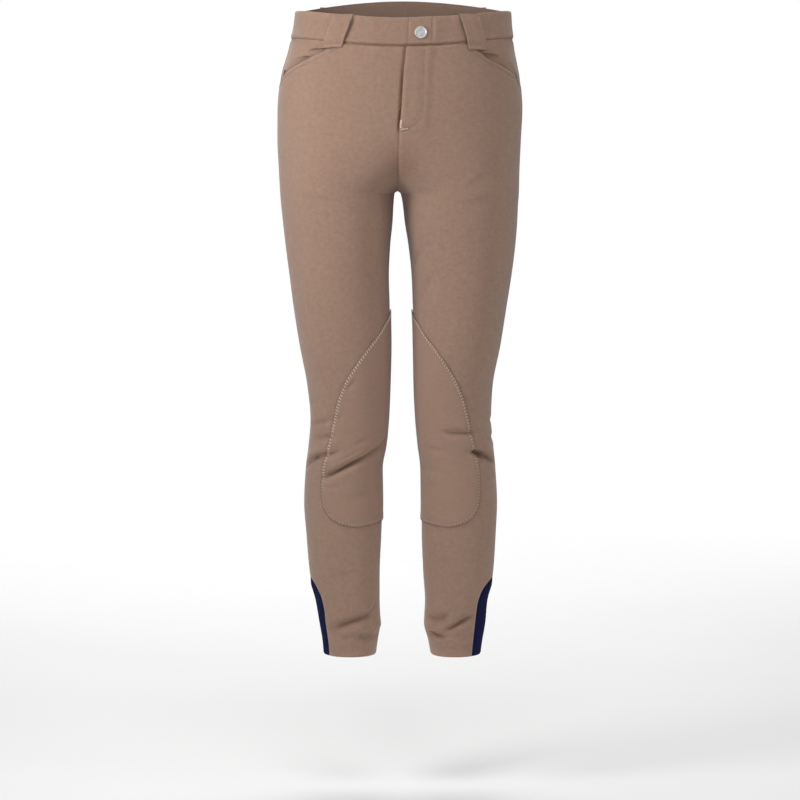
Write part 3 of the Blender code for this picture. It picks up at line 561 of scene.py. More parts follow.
def shell_mesh(name, outer, inner, weave, near, folds=None, shaded=0.0):
    """Two grids of points joined round their rim, marked with the weave's directions, how near an
    edge is and how much shade is painted into the colour: in folds, the crotch and where shaded is given."""
    rows, columns = outer.shape[:2]
    index = np.arange(rows * columns).reshape(rows, columns)
    quads = np.stack([index[:-1, :-1], index[:-1, 1:], index[1:, 1:], index[1:, :-1]], axis=-1)
    quads = quads.reshape(-1, 4)
    rim = np.concatenate([index[0, :-1], index[:-1, -1], index[-1, :0:-1], index[:0:-1, 0]])
    count = rows * columns
    side_quads = np.stack([rim, rim + count, np.roll(rim, -1) + count, np.roll(rim, -1)], axis=-1)
    faces = np.concatenate([quads[:, ::-1], quads + count, side_quads])
    corners = quads[len(quads) // 2]
    a, b, c = outer.reshape(-1, 3)[corners[:3]]
    if np.dot(np.cross(b - a, c - a), (outer - inner).reshape(-1, 3)[corners[0]]) > 0.0:
        faces = faces[:, ::-1]
    mesh = bpy.data.meshes.new(name)
    points = np.concatenate([outer.reshape(-1, 3), inner.reshape(-1, 3)])
    mesh.from_pydata(points, [], faces.tolist())
    layer = np.zeros(len(faces), dtype=np.int32)
    layer[len(quads): 2 * len(quads)] = 1
    mesh.polygons.foreach_set("material_index", layer)
    lie = mesh.attributes.new("weave", "FLOAT_VECTOR", "POINT")
    lie.data.foreach_set("vector", np.concatenate([weave, weave]).ravel())
    mark(mesh, "edge", [near, near])
    if folds is not None:
        # Painted shade: darkest in the bottom of folds, in the crotch and where shaded is given
        low = np.maximum(smooth(FOLD_SHADE_START, FOLD_SHADE_END, -folds), shaded)
        low = np.maximum(low, crotch_shade(outer))
        mark(mesh, "painted_shade", [low, low])
    mesh.shade_smooth()
    return add_object(name, mesh)


def shader_group(name, inputs, outputs):
    """An empty shader group with named sockets, and its two end nodes."""
    group = bpy.data.node_groups.new(name, "ShaderNodeTree")
    for socket, kind, value in inputs:
        entry = group.interface.new_socket(socket, in_out="INPUT", socket_type="NodeSocket" + kind)
        entry.default_value = value
    for socket, kind in outputs:
        group.interface.new_socket(socket, in_out="OUTPUT", socket_type="NodeSocket" + kind)
    return group, group.nodes.new("NodeGroupInput"), group.nodes.new("NodeGroupOutput")


def fill(tree, item, inputs):
    """Sets a node's inputs, given as values or as other nodes' outputs."""
    for key, value in inputs.items():
        if isinstance(value, bpy.types.NodeSocket):
            tree.links.new(value, item.inputs[key])
        else:
            item.inputs[key].default_value = value
    return item


def place(tree, kind, inputs=None, **settings):
    """A node with its settings and inputs."""
    item = tree.nodes.new("ShaderNode" + kind)
    for key, value in settings.items():
        setattr(item, key, value)
    return fill(tree, item, inputs or {})


def sum_up(tree, operation, first, second=0.0, third=0.0):
    """A sum of up to three numbers."""
    return place(tree, "Math", {0: first, 1: second, 2: third}, operation=operation).outputs[0]


def vector_sum(tree, operation, inputs):
    """The same for colours and places."""
    return place(tree, "VectorMath", inputs, operation=operation).outputs[0]


def spots(tree, where, scale, detail, **more):
    """Noise over the object's own places."""
    return place(tree, "TexNoise", {"Vector": where, "Scale": scale, "Detail": detail, **more})


# Fine twill of the cloth: diagonal wales crossed by the yarns, along the piece's own grain
twill, twill_in, twill_out = shader_group(
    "fine twill", [("Pitch", "Float", 0.0009)], [("Height", "Float")])
lie = place(twill, "Attribute", attribute_name="weave").outputs["Vector"]
grain = place(twill, "SeparateXYZ", {0: lie})
u = sum_up(twill, "DIVIDE", grain.outputs["X"], twill_in.outputs["Pitch"])
v = sum_up(twill, "DIVIDE", grain.outputs["Y"], twill_in.outputs["Pitch"])
diagonal = sum_up(twill, "MULTIPLY_ADD", u, 0.5, v)
wale = sum_up(twill, "SINE", sum_up(twill, "MULTIPLY", diagonal, math.tau))
yarn = sum_up(twill, "SINE", sum_up(twill, "MULTIPLY", u, math.tau))
crossed = sum_up(twill, "MULTIPLY_ADD", yarn, 0.3, wale)
fill(twill, twill_out, {"Height": sum_up(twill, "MULTIPLY_ADD", crossed, 0.38, 0.5)})

# Brushed nap: short fibre, small clouds where it lies another way, a broad uneven dye, and painted shade
nap, nap_in, nap_out = shader_group(
    "brushed nap",
    [("Color", "Color", (0.3, 0.2, 0.15, 1.0)), ("Clouding", "Float", 0.1),
     ("Fibre", "Float", 0.06), ("Slub", "Float", 0.16)],
    [("Color", "Color"), ("Roughness", "Float"), ("Height", "Float")])
CLOTH_RELIEF = 0.00012
HUE_DRIFT = 0.14
DYE_DRIFT = 0.10
PAINTED_SHADE_RGB = (0.36, 0.45, 0.50)
where = place(nap, "TexCoord").outputs["Object"]
clouds = spots(nap, where, 170.0, 3.0, Roughness=0.55)
fibre = spots(nap, where, 620.0, 2.0, Roughness=0.6)
hues = spots(nap, where, 190.0, 1.0).outputs[1]
stretched = place(nap, "Mapping", {"Vector": where, "Scale": (1.0, 1.0, 0.35)}).outputs[0]
dye = spots(nap, stretched, 22.0, 2.0, Roughness=0.5)
level = place(nap, "Mapping", {"Vector": where, "Scale": (0.22, 0.22, 1.0)}).outputs[0]
slubs = spots(nap, level, 420.0, 2.0, Roughness=0.6)
tone = 1.0
for pattern, amount in ((clouds, nap_in.outputs["Clouding"]), (slubs, nap_in.outputs["Slub"]),
                        (fibre, nap_in.outputs["Fibre"]), (dye, DYE_DRIFT)):
    swing = sum_up(nap, "SUBTRACT", pattern.outputs[0], 0.5)
    tone = sum_up(nap, "MULTIPLY_ADD", swing, amount, tone)
toned = vector_sum(nap, "SCALE", {0: nap_in.outputs["Color"], "Scale": tone})
drift = {0: hues, 1: (HUE_DRIFT,) * 3, 2: (1.0 - 0.5 * HUE_DRIFT,) * 3}
toned = vector_sum(nap, "MULTIPLY", {0: toned, 1: vector_sum(nap, "MULTIPLY_ADD", drift)})
# Painted shade: the colour is darkened where the cloth carries the shade mark, least in red
painted_shade = place(nap, "Attribute", attribute_name="painted_shade").outputs["Fac"]
shade = vector_sum(nap, "SCALE", {0: PAINTED_SHADE_RGB, "Scale": painted_shade})
shade = vector_sum(nap, "SUBTRACT", {0: (1.0, 1.0, 1.0), 1: shade})
toned = vector_sum(nap, "MULTIPLY", {0: toned, 1: shade})
rough = place(nap, "MapRange", {"Value": clouds.outputs[0], "From Min": 0.3, "From Max": 0.7,
                                "To Min": 0.80, "To Max": 0.95}).outputs[0]
soft = sum_up(nap, "MULTIPLY", clouds.outputs[0], 0.55)
soft = sum_up(nap, "MULTIPLY_ADD", fibre.outputs[0], 0.45, soft)
fill(nap, nap_out, {"Color": toned, "Roughness": rough, "Height": soft})

# Edges: the cloth is rubbed a little paler where it turns over beside a seam or a folded edge
rub, rub_in, rub_out = shader_group(
    "rubbed edge",
    [("Color", "Color", (0.3, 0.2, 0.15, 1.0)), ("Amount", "Float", 0.12)], [("Color", "Color")])
near_edge = place(rub, "Attribute", attribute_name="edge").outputs["Fac"]
patches = spots(rub, place(rub, "TexCoord").outputs["Object"], 90.0, 3.0)
past_edge = sum_up(rub, "SUBTRACT", 1.0, near_edge)
ring = sum_up(rub, "MULTIPLY", sum_up(rub, "MULTIPLY", near_edge, past_edge), 4.0)
patchy = sum_up(rub, "MULTIPLY", ring, patches.outputs[0])
gain = sum_up(rub, "MULTIPLY_ADD", patchy, rub_in.outputs["Amount"], 1.0)
fill(rub, rub_out, {"Color": vector_sum(rub, "SCALE", {0: rub_in.outputs["Color"], "Scale": gain})})


def group_node(tree, group, inputs):
    """A shared shader group set into a tree."""
    return place(tree, "Group", inputs, node_tree=group)


def new_material(name):
    """A material with its tree of nodes and its shader."""
    material = bpy.data.materials.new(name)
    material.use_nodes = True
    return material, material.node_tree, material.node_tree.nodes["Principled BSDF"]


def cloth_material(name, color, clouding=0.34, fibre=0.32, pitch=0.0009, sheen=0.34):
    """Brushed cloth of one colour: nap over a fine twill, paler along its turned edges, with painted shade
    where it is marked.
    """
    material, tree, shader = new_material(name)
    napped = group_node(tree, nap, {"Color": (*color, 1.0), "Clouding": clouding, "Fibre": fibre})
    rubbed = group_node(tree, rub, {"Color": napped.outputs["Color"]})
    woven = group_node(tree, twill, {"Pitch": pitch})
    height = sum_up(tree, "MULTIPLY_ADD", woven.outputs["Height"], 0.35, napped.outputs["Height"])
    bump = place(tree, "Bump", {"Height": height, "Distance": CLOTH_RELIEF, "Strength": 1.0})
    fill(tree, shader, {
        "Base Color": rubbed.outputs["Color"], "Roughness": napped.outputs["Roughness"],
        "Normal": bump.outputs["Normal"], "Sheen Weight": sheen, "Sheen Roughness": 0.55,
        "Sheen Tint": (0.86, 0.84, 0.86, 1.0), "Specular IOR Level": 0.25})
    return material


TAN = (0.350, 0.221, 0.159)
TAN_WRONG_SIDE = (0.275, 0.182, 0.138)
tan_cloth = cloth_material("tan brushed twill", TAN)
wrong_side = cloth_material("tan twill wrong side", TAN_WRONG_SIDE, clouding=0.05, sheen=0.1)


def finish_cloth(piece, node, face, slot, flat, area, held, back=None):
    """Gives a cloth piece its two faces, and stands it in for its node."""
    piece.data.materials.append(face)
    piece.data.materials.append(back or wrong_side)
    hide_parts(node)
    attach(piece, "root")


def groove(distance, depth=0.00045, width=0.0016):
    """A soft channel that a row of stitching draws into the cloth."""
    return -depth * np.exp(-(distance / width) ** 2)


# Stitching drawn down beside the pocket openings and round the fly's curve
POCKET_STITCH = 0.0080
POCKET_TURNED = 0.0012
POCKET_SLANT = 0.86
FLY_STITCH_X = 0.0228
FLY_STITCH_DRIFT = 0.0042
FLY_CURVE_TOP = -0.128
FLY_CURVE_FOOT = -0.1520
FLY_CURVE_POWER = 1.55
FLY_FOOT = (FLY_BOTTOM - 0.006, FLY_BOTTOM + 0.010)
FLY_SHADE = 1.5
FLY_SHADE_WIDE = (0.0018, 0.0046)
FLY_SHADE_GROWS = (-0.060, -0.090)
FLY_SHADE_LOWER = 0.004
BAND_SEAM_SHADE = 0.85
BAND_SEAM_WIDE = (0.0006, 0.0028)
# Channels and a ridge along the fly: distance from its edge, then depth and width
UNDER_LAP = (0.0006, 0.0014, 0.0028)
FLAP_RIDGE = (0.0032, 0.0004, 0.0018)
FLY_CHANNEL = (0.0008, 0.0034)


def pocket_groove(side, turn, z):
    """The channels of a pocket's stitching and of its turned edge, measured square to its slant."""
    below = pocket_edge(side, turn) - POCKET_STITCH - z
    inside = smooth(POCKET_ANGLE + 0.14, POCKET_ANGLE - 0.02, turn)
    turned = groove(POCKET_SLANT * (below + POCKET_STITCH - POCKET_TURNED), 0.0003)
    return groove(POCKET_SLANT * below) * inside + turned * inside


def fly_line_x(z):
    """X of the fly's stitching over the lap edge: straight, then curving in to the centre seam."""
    share = np.clip((FLY_CURVE_TOP - z) / (FLY_CURVE_TOP - FLY_CURVE_FOOT), 0.0, 1.0)
    straight = FLY_STITCH_X + FLY_STITCH_DRIFT * smooth(BAND_SEAM_SIDE, FLY_CURVE_TOP, z)
    return straight * np.maximum(1.0 - share ** FLY_CURVE_POWER, 0.0) ** (1.0 / FLY_CURVE_POWER)


def along_fly(z):
    """1 beside the fly, 0 below its foot."""
    return smooth(*FLY_FOOT, z)


def seam_shade(distance):
    """How much the cloth is shaded in the channel of the waistband's seam."""
    return BAND_SEAM_SHADE * (1.0 - smooth(*BAND_SEAM_WIDE, distance))


def fly_shade(points):
    """How much the right front is shaded beside the flap: more the further down the fly."""
    z = points[..., 2]
    beside = 1.0 - smooth(*FLY_SHADE_WIDE, lap_edge(z) - points[..., 0])
    return FLY_SHADE * beside * along_fly(z + FLY_SHADE_LOWER) * (0.6 + 0.4 * smooth(*FLY_SHADE_GROWS, z))


def flap_raise(points):
    """How far the left front stands out over the fly."""
    z = points[..., 2]
    reach = points[..., 0] - lap_edge(z)
    across = 1.0 - smooth(FLY_WIDTH, FLY_WIDTH + FLY_FADE, reach)
    return FLAP_RAISE * across * smooth(FLAP_SETTLES[0], FLAP_SETTLES[1], z - FLY_BOTTOM)


SIDES = ((-1, "right"), (1, "left"))
PANEL_COLUMNS = 84
# Cut of each panel: width across the hip, length, and the area of its outline
PANEL_CUTS = {
    "front_right": ((0.260, 0.830), 0.158),
    "front_left": ((0.255, 0.830), 0.156),
    "back_right": ((0.270, 0.850), 0.165),
    "back_left": ((0.270, 0.850), 0.164),
}
for side, word in SIDES:
    for face, part in ((-1, "front"), (1, "back")):
        turn, z = panel_grid(side, face, PANEL_COLUMNS)
        points = surface(side, turn, z)
        past_edge = points[..., 0] - lap_edge(z)
        raised = 0.0
        relief = pocket_groove(side, turn, z) if face < 0 else 0.0
        shaded = seam_shade(np.abs(band_seam(turn) - z))
        if face < 0 and side < 0:
            relief = relief + groove(past_edge + UNDER_LAP[0], *UNDER_LAP[1:]) * along_fly(z)
            shaded = np.maximum(shaded, fly_shade(points))
        if face < 0 and side > 0:
            raised = flap_raise(points)
            relief = relief + groove(past_edge - fly_line_x(z), *FLY_CHANNEL) * (z > FLY_CURVE_FOOT)
            relief = relief - groove(past_edge - FLAP_RIDGE[0], *FLAP_RIDGE[1:]) * along_fly(z)
        name = part + "_" + word
        flat, area = PANEL_CUTS[name]
        borders = (SEWN, LAPPED if face < 0 and side > 0 else SEWN, DEEP_SEAM, FREE)
        piece = cloth_shell(name + "_cloth", side, turn, z, raised, SHELL, borders, relief, True, shaded)
        finish_cloth(piece, name, tan_cloth, "main_cloth", flat, area, "stretched")


# ---- Waistband --------------------------------------------------------------------------------
# A straight band of the same cloth folded double, 36 mm high, in a right and a left half joined
# at the centre back, with a separate tab on the left that laps over the fly.

BAND_HEIGHT = 0.036
BAND_CLOTH = 0.0022
BAND_PROUD = 0.0007
BAND_MIDDLE = -0.020
TAB_WIDTH = 0.031
TAB_LAP = 0.005
TAB_RAISE = BAND_CLOTH + SEAM
TAB_FADE = 0.022
BAND_CELL = 0.0020
TAB_CELL = 0.0012
FOLDED = (0.0010, 0.0014)
RIPPLE_FINE = 0.00013
RIPPLE_BROAD = 0.00022
RIPPLE_MIDDLE = -0.012
RIPPLE_WIDE = 0.028


def tab_raise(points):
    """How far the waistband stands out over its own under end."""
    reach = points[..., 0] - lap_edge(points[..., 2])
    lift = TAB_RAISE * (1.0 - smooth(TAB_WIDTH, TAB_WIDTH + TAB_FADE, reach))
    return np.where(points[..., 1] > 0.0, 0.0, lift)


def even_turns(side, start, end, z, cell):
    """Turns between two places at one height, a cell apart along the cloth and closer at the ends."""
    fine = np.linspace(start, end, 600)
    run = run_along(surface(side, fine, np.full(600, z))[None], 1)[0]
    count = int(run[-1] / cell)
    return np.interp(places_along(run[-1:], count)[0], run, fine)


def band_turn(side, x):
    """The turn of a place on the waistband's front."""
    return float(turn_at(side, -1, x, BAND_MIDDLE))


def band_grid(side, start, end, cell=BAND_CELL):
    """Turns and heights of a length of the waistband."""
    turns = even_turns(side, start, end, BAND_MIDDLE, cell)
    rows = places_along(np.array([BAND_HEIGHT]), int(BAND_HEIGHT / cell))[0]
    turn = np.repeat(turns[None], len(rows), axis=0)
    z = band_seam(turn) + BAND_HEIGHT - rows[:, None]
    return turn, z


def band_ripple(points):
    """Fine level wrinkles where the band is drawn round the front of the waist."""
    x, z = points[..., 0], points[..., 2]
    front = smooth(0.02, -0.06, points[..., 1])
    middle = np.exp(-((x - RIPPLE_MIDDLE) / RIPPLE_WIDE) ** 2)
    wave = np.sin(z * 900.0 + 2.2 * np.sin(x * 95.0)) * 0.6 + np.sin(z * 1500.0 + x * 120.0) * 0.4
    broad = np.sin(z * 260.0 + 3.0 * np.sin(x * 40.0 + 1.0))
    return front * (RIPPLE_FINE * middle * wave) + RIPPLE_BROAD * broad * (0.4 + 0.6 * front)


band_edge = float(lap_edge(BAND_MIDDLE))
seam_x = band_edge + TAB_WIDTH
BAND_CUTS = {-1: ((0.455, 0.036), 0.0163), 1: ((0.375, 0.036), 0.0135)}
for side, word, end_x in ((-1, "right", seam_x - TAB_LAP), (1, "left", seam_x)):
    back_end = float(turn_at(side, 1, WORN["mid"](0.0), 0.0))
    turn, z = band_grid(side, back_end, band_turn(side, end_x))
    points = surface(side, turn, z)
    filled = tab_raise(points) * (side > 0)  # the turnings fill the step behind the tab
    borders = (SEWN, FREE if side < 0 else SEWN, FOLDED, DEEP_SEAM)
    name = "waistband_" + word
    piece = cloth_shell(name + "_cloth", side, turn, z, BAND_PROUD + filled, BAND_CLOTH + filled,
                        borders, band_ripple(points), shaded=seam_shade(z - band_seam(turn)))
    finish_cloth(piece, name, tan_cloth, "main_cloth", *BAND_CUTS[side], "folded")

turn, z = band_grid(1, band_turn(1, band_edge), band_turn(1, seam_x), TAB_CELL)
tab = cloth_shell("waistband_tab_cloth", 1, turn, z, BAND_PROUD + TAB_RAISE, BAND_CLOTH,
                  (FOLDED, SEWN, FOLDED, DEEP_SEAM), band_ripple(surface(1, turn, z)),
                  shaded=seam_shade(z - band_seam(turn)))
finish_cloth(tab, "waistband_tab", tan_cloth, "main_cloth", (0.032, 0.038), 0.00118, "folded")


# ---- Fly --------------------------------------------------------------------------------------
# The left front laps over a shield of thin cloth and a closed metal zip. A curved row of
# stitching holds the facing, with a bartack of pale thread at its foot.

THREAD = (0.780, 0.640, 0.530)
THREAD_TAN = (0.300, 0.205, 0.150)
THREAD_DARK = (0.075, 0.035, 0.028)
THREAD_FINE = 0.00022
THREAD_TAB = 0.00034
THREAD_FLY_TACK = 0.00036
THREAD_POCKET_TACK = 0.00040
THIN_CLOTH = 0.0010
BRASS = (0.480, 0.370, 0.200)
TAB_FOOT_STITCH = 0.0012


def thread_material(name, color):
    """Twisted thread: slanting plies along each stitch, with a slight gloss."""
    material, tree, shader = new_material(name)
    ply = spots(tree, place(tree, "TexCoord").outputs["Object"], 1600.0, 1.0)
    napped = group_node(tree, nap, {"Color": (*color, 1.0), "Clouding": 0.25, "Fibre": 0.3})
    bump = place(tree, "Bump", {"Height": ply.outputs[0], "Distance": 0.0001, "Strength": 0.8})
    fill(tree, shader, {"Base Color": napped.outputs["Color"], "Normal": bump.outputs["Normal"],
                        "Roughness": 0.6, "Sheen Weight": 0.15})
    return material


pale_thread = thread_material("ecru thread", THREAD)
tan_thread = thread_material("tan thread", THREAD_TAN)
dark_thread = thread_material("dark red thread", THREAD_DARK)

# A stitch: rings along it, as share of its length, share of its thickness and how far each rises
STITCH_RINGS = (
    (-0.50, 0.45, -0.9), (-0.36, 0.95, -0.15), (0.0, 1.0, 0.0), (0.36, 0.95, -0.15), (0.50, 0.45, -0.9),
)
STITCH_SIDES = 6


def sew(name, stitches, radius, material):
    """One mesh of many stitches, each given by its two ends and the way it faces."""
    starts, ends, normals = (np.array([s[k] for s in stitches]) for k in range(3))
    along = ends - starts
    middle = 0.5 * (starts + ends)
    length = np.linalg.norm(along, axis=1, keepdims=True)
    run = along / length
    beside = np.cross(normals, run)
    beside /= np.linalg.norm(beside, axis=1, keepdims=True)
    up = np.cross(run, beside)
    angles = np.arange(STITCH_SIDES) * math.tau / STITCH_SIDES
    points = []
    for share, thick, rise in STITCH_RINGS:
        for angle in angles:
            out = beside * math.cos(angle) + up * math.sin(angle)
            points.append(middle + along * share + (out * thick + up * rise) * radius)
    points = np.stack(points, axis=1)
    per = len(STITCH_RINGS) * STITCH_SIDES
    faces = []
    for ring in range(len(STITCH_RINGS) - 1):
        for k in range(STITCH_SIDES):
            a = ring * STITCH_SIDES + k
            b = ring * STITCH_SIDES + (k + 1) % STITCH_SIDES
            faces.append((a, b, b + STITCH_SIDES, a + STITCH_SIDES))
    caps = [tuple(range(STITCH_SIDES))[::-1], tuple(range(per - STITCH_SIDES, per))]
    everything = []
    for item in range(len(stitches)):
        base = item * per
        everything += [tuple(base + i for i in f) for f in faces + caps]
    mesh = bpy.data.meshes.new(name)
    mesh.from_pydata(points.reshape(-1, 3), [], everything)
    mesh.shade_smooth()
    mesh.materials.append(material)
    piece = add_object(name, mesh)
    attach(piece, "root")
    return piece


def path_on(side, turns, heights, raised):
    """A fine path over the cloth through places: its points, normals and distance run."""
    share = np.linspace(0.0, len(turns) - 1.0, 40 * len(turns))
    turn = np.interp(share, range(len(turns)), turns)
    z = np.interp(share, range(len(turns)), heights)
    normal = surface_normal(side, turn, z)
    points = surface(side, turn, z)
    lift = raised(points) if callable(raised) else raised
    points = points + normal * np.asarray(lift + np.zeros(len(z)))[:, None]
    return points, normal, run_along(points[None], 1)[0]


def along_path(path, distance):
    """A path's point and normal at a distance along it."""
    *both, run = path
    return [np.array([np.interp(distance, run, values[:, k]) for k in range(3)]) for values in both]


def running_stitches(path, length=0.0030, gap=0.0008):
    """Stitches end to end along a path."""
    stitches = []
    for item in range(int(path[2][-1] / (length + gap))):
        here = item * (length + gap)
        a, normal = along_path(path, here)
        b, _ = along_path(path, here + length)
        stitches.append((a, b, normal))
    return stitches


def bartack(path, width, count):
    """Close stitches across a short path."""
    stitches = []
    for share in np.linspace(0.0, 1.0, count):
        point, normal = along_path(path, path[2][-1] * share)
        ahead, _ = along_path(path, path[2][-1] * min(share + 0.02, 1.0))
        behind, _ = along_path(path, path[2][-1] * max(share - 0.02, 0.0))
        run = ahead - behind
        beside = np.cross(normal, run / np.linalg.norm(run))
        stitches.append((point - 0.5 * width * beside, point + 0.5 * width * beside, normal))
    return stitches


def fly_turn(x, z):
    """The turn at a distance past the fly's edge."""
    return turn_at(1, -1, lap_edge(z) + x, z)


SHIELD_REACH = (-0.004, 0.028)
SHIELD_TOP = BAND_SEAM_SIDE - BAND_DIP_FRONT - 2.0 * SEAM
SHIELD_DEEP = 0.0021
inner_cloth = cloth_material("thin inner twill", TAN_WRONG_SIDE, clouding=0.05, sheen=0.08)
z = np.repeat(np.linspace(SHIELD_TOP, FLY_BOTTOM + 0.006, 46)[:, None], 18, axis=1)
turn = fly_turn(np.linspace(*SHIELD_REACH, 18), z)
shield = cloth_shell("fly_underlap_cloth", 1, turn, z, -SHIELD_DEEP, THIN_CLOTH,
                     (FREE, FREE, COVERED, FREE))
finish_cloth(shield, "fly_underlap", inner_cloth, "inner_cloth", (0.036, 0.115), 0.0036, "stretched",
             inner_cloth)


def metal_material(name, color, dark, ramp, pattern):
    """Metal whose tone wanders down to a darker one: the material, its tree, shader and noise."""
    material, tree, shader = new_material(name)
    tone = place(tree, "ValToRGB")
    for end, position, shade in zip(tone.color_ramp.elements, ramp, (dark, 1.0)):
        end.position = position
        end.color = (*(shade * c for c in color), 1.0)
    noise = spots(tree, place(tree, "TexCoord").outputs["Object"], **pattern).outputs[0]
    fill(tree, tone, {"Fac": noise})
    fill(tree, shader, {"Base Color": tone.outputs[0]})
    return material, tree, shader, noise


# Zip: a strip of teeth, closed, behind the flap
TOOTH_PITCH = 0.0022
TOOTH_BACK = 0.0006
TOOTH_REACH = 0.0028
TOOTH_RADIUS = 0.00055
ZIP_FOOT = FLY_BOTTOM + 0.029
ZIP_MIDDLE = FLY_UNDER + 2.0 * SEAM + 0.00325
brass, tree, shader, _ = metal_material("zip brass", BRASS, 0.6, (0.0, 1.0), {"scale": 400.0, "detail": 3.0})
fill(tree, shader, {"Metallic": 1.0, "Roughness": 0.38})

z = np.linspace(SHIELD_TOP - 0.001, ZIP_FOOT, 90)
teeth_path = path_on(1, fly_turn(ZIP_MIDDLE, z), z, -0.0006)
teeth = []
for item in range(int(teeth_path[2][-1] / (0.5 * TOOTH_PITCH))):
    point, normal = along_path(teeth_path, 0.5 * TOOTH_PITCH * (item + 0.5))
    across = np.array([1.0 if item % 2 else -1.0, 0.0, 0.0])
    teeth.append((point - TOOTH_BACK * across, point + TOOTH_REACH * across, normal))
zip_piece = sew("fly_zip_teeth", teeth, TOOTH_RADIUS, brass)
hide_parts("fly_zip")

# The fly's stitching and its bartacks
FLY_STITCHES = (0.0026, 0.0008)
FLY_STITCH_TOP = -0.046
bend = np.sin(np.linspace(0.08, 0.5 * math.pi, 14))
z = np.concatenate([np.linspace(FLY_STITCH_TOP, FLY_CURVE_TOP, 12),
                    FLY_CURVE_TOP - (FLY_CURVE_TOP - FLY_CURVE_FOOT) * bend])
fly_path = path_on(1, fly_turn(fly_line_x(z), z), z, flap_raise)
sew("fly_stitching", running_stitches(fly_path, *FLY_STITCHES), THREAD_FINE, tan_thread)
tacks = []
# Columns: past the fly's edge and height at both ends, width, count of threads
for past_edge, z, width, count in (((0.0016, 0.0016), (-0.137, -0.147), 0.0027, 16),
                                   ((0.0010, 0.0105), (-0.1495, -0.1478), 0.0016, 12)):
    z = np.array(z)
    tacks += bartack(path_on(1, fly_turn(np.array(past_edge), z), z, flap_raise), width, count)
sew("fly_bartack", tacks, THREAD_FLY_TACK, pale_thread)

# The row that closes the tab's foot
turns = even_turns(1, band_turn(1, band_edge + 0.002), band_turn(1, seam_x - 0.009), BAND_MIDDLE, BAND_CELL)
foot_path = path_on(1, turns, band_seam(turns) + TAB_FOOT_STITCH, BAND_PROUD + TAB_RAISE - 0.0006)
foot_row = running_stitches(foot_path, 0.0026, 0.0006)
sew("waistband_tab_stitching", foot_row, THREAD_TAB, tan_thread)


# ---- Slant pockets ----------------------------------------------------------------------------
# Each front is cut away in a slant below the waistband. The hip facing of the same cloth shows
# in the opening, and the opening's folded edge is stitched down and bartacked at its lower end.

POCKET_UNDER = 0.012
FACING_REACH = 0.70  # share of the front's width that the facing runs on to
FACING_DROP = 0.0044
FACING_RISES = (-0.004, 0.021)
FACING_TURNING = 0.0032  # runs this far under the waistband and the back
FACING_ROWS = 27
FACING_LEVEL = -0.06
FACING_CLOSED = (0.34, 0.72)
FACING_SEWN = (0.001, 0.006)
FACING_LEAST = 0.0013
FACING_SHADE = 0.80
FACING_SHADE_WIDE = (0.0008, 0.0058)
FACING_SHADE_EASE = 0.30
HIP_RADIUS = 0.13
TACK_TURN = 0.35
TACK_TOPS = {-1: -0.0700, 1: -0.0795}
TACK_LENGTH = 0.0100
TACK_WIDTH = 0.0026
TACK_THREADS = 18

for side, word in SIDES:
    last = center_turn(side, -1, np.array([FACING_LEVEL]))[0] * FACING_REACH
    turns = even_turns(side, -FACING_TURNING / HIP_RADIUS, last, FACING_LEVEL, CELL)
    turn = np.repeat(turns[None], FACING_ROWS, axis=0)
    seam = band_seam(turn)
    low = np.minimum(seam, pocket_edge(side, turn)) - POCKET_UNDER
    top = seam + FACING_TURNING
    z = top + (low - top) * np.linspace(0.0, 1.0, FACING_ROWS)[:, None]
    above = z - pocket_edge(side, turn)
    lowered = -FACING_DROP * (1.0 - smooth(*FACING_RISES, above)) * smooth(*FACING_SEWN, seam - z)
    lowered = lowered * smooth(*FACING_CLOSED, turn) - FACING_LEAST
    name = "pocket_facing_" + word
    shade = FACING_SHADE * (1.0 - smooth(*FACING_SHADE_WIDE, above))
    facing = cloth_shell(name + "_cloth", side, turn, z, lowered, THIN_CLOTH, (SEWN, FREE, SEWN, FREE),
                         shaded=shade * smooth(POCKET_ANGLE, POCKET_ANGLE - FACING_SHADE_EASE, turn))
    finish_cloth(facing, name, tan_cloth, "main_cloth", (0.135, 0.070), 0.0063, "stretched")

    turns = np.linspace(0.03, POCKET_ANGLE + 0.05, 24)
    heights = pocket_edge(side, turns) - POCKET_STITCH
    keep = heights < band_seam(turns) - 0.001
    path = path_on(side, turns[keep], heights[keep], 0.0)
    sew("pocket_stitching_" + word, running_stitches(path), THREAD_FINE, tan_thread)
    heights = TACK_TOPS[side] - np.array([0.0, TACK_LENGTH])
    path = path_on(side, [TACK_TURN, TACK_TURN], heights, -0.0003)
    sew("pocket_bartack_" + word, bartack(path, TACK_WIDTH, TACK_THREADS), THREAD_POCKET_TACK, dark_thread)


# ---- Belt loops -------------------------------------------------------------------------------
# Five plain loops of folded cloth, two in front and three behind. Each is caught in the
# waistband's top edge, stands off the band, and is folded under and sewn down below its seam.

LOOP_WIDTH = 0.027
LOOP_BACK_WIDTH = 0.022
LOOP_CLOTH = 0.0016
LOOP_GAP = 0.0036
LOOP_FOOT = 0.0050
LOOP_TOP_DROP = 0.0005
LOOP_STEPS_OFF = (-0.0035, -0.0005)
LOOP_RIPPLE = 0.00035
LOOP_TURNED = 0.0005
LOOP_EDGE = (0.0008, 0.0011)
# Columns: name, side, face, angle at the top, angle at the foot, foot below the seam, width
LOOPS = (
    ("belt_loop_front_right", -1, -1, 59.0, 55.5, 0.0075, LOOP_WIDTH),
    ("belt_loop_front_left", 1, -1, 55.5, 51.5, 0.0110, LOOP_WIDTH),
    ("belt_loop_back_right", -1, 1, 46.0, 46.0, LOOP_FOOT, LOOP_BACK_WIDTH),
    ("belt_loop_back_left", 1, 1, 46.0, 46.0, LOOP_FOOT, LOOP_BACK_WIDTH),
)
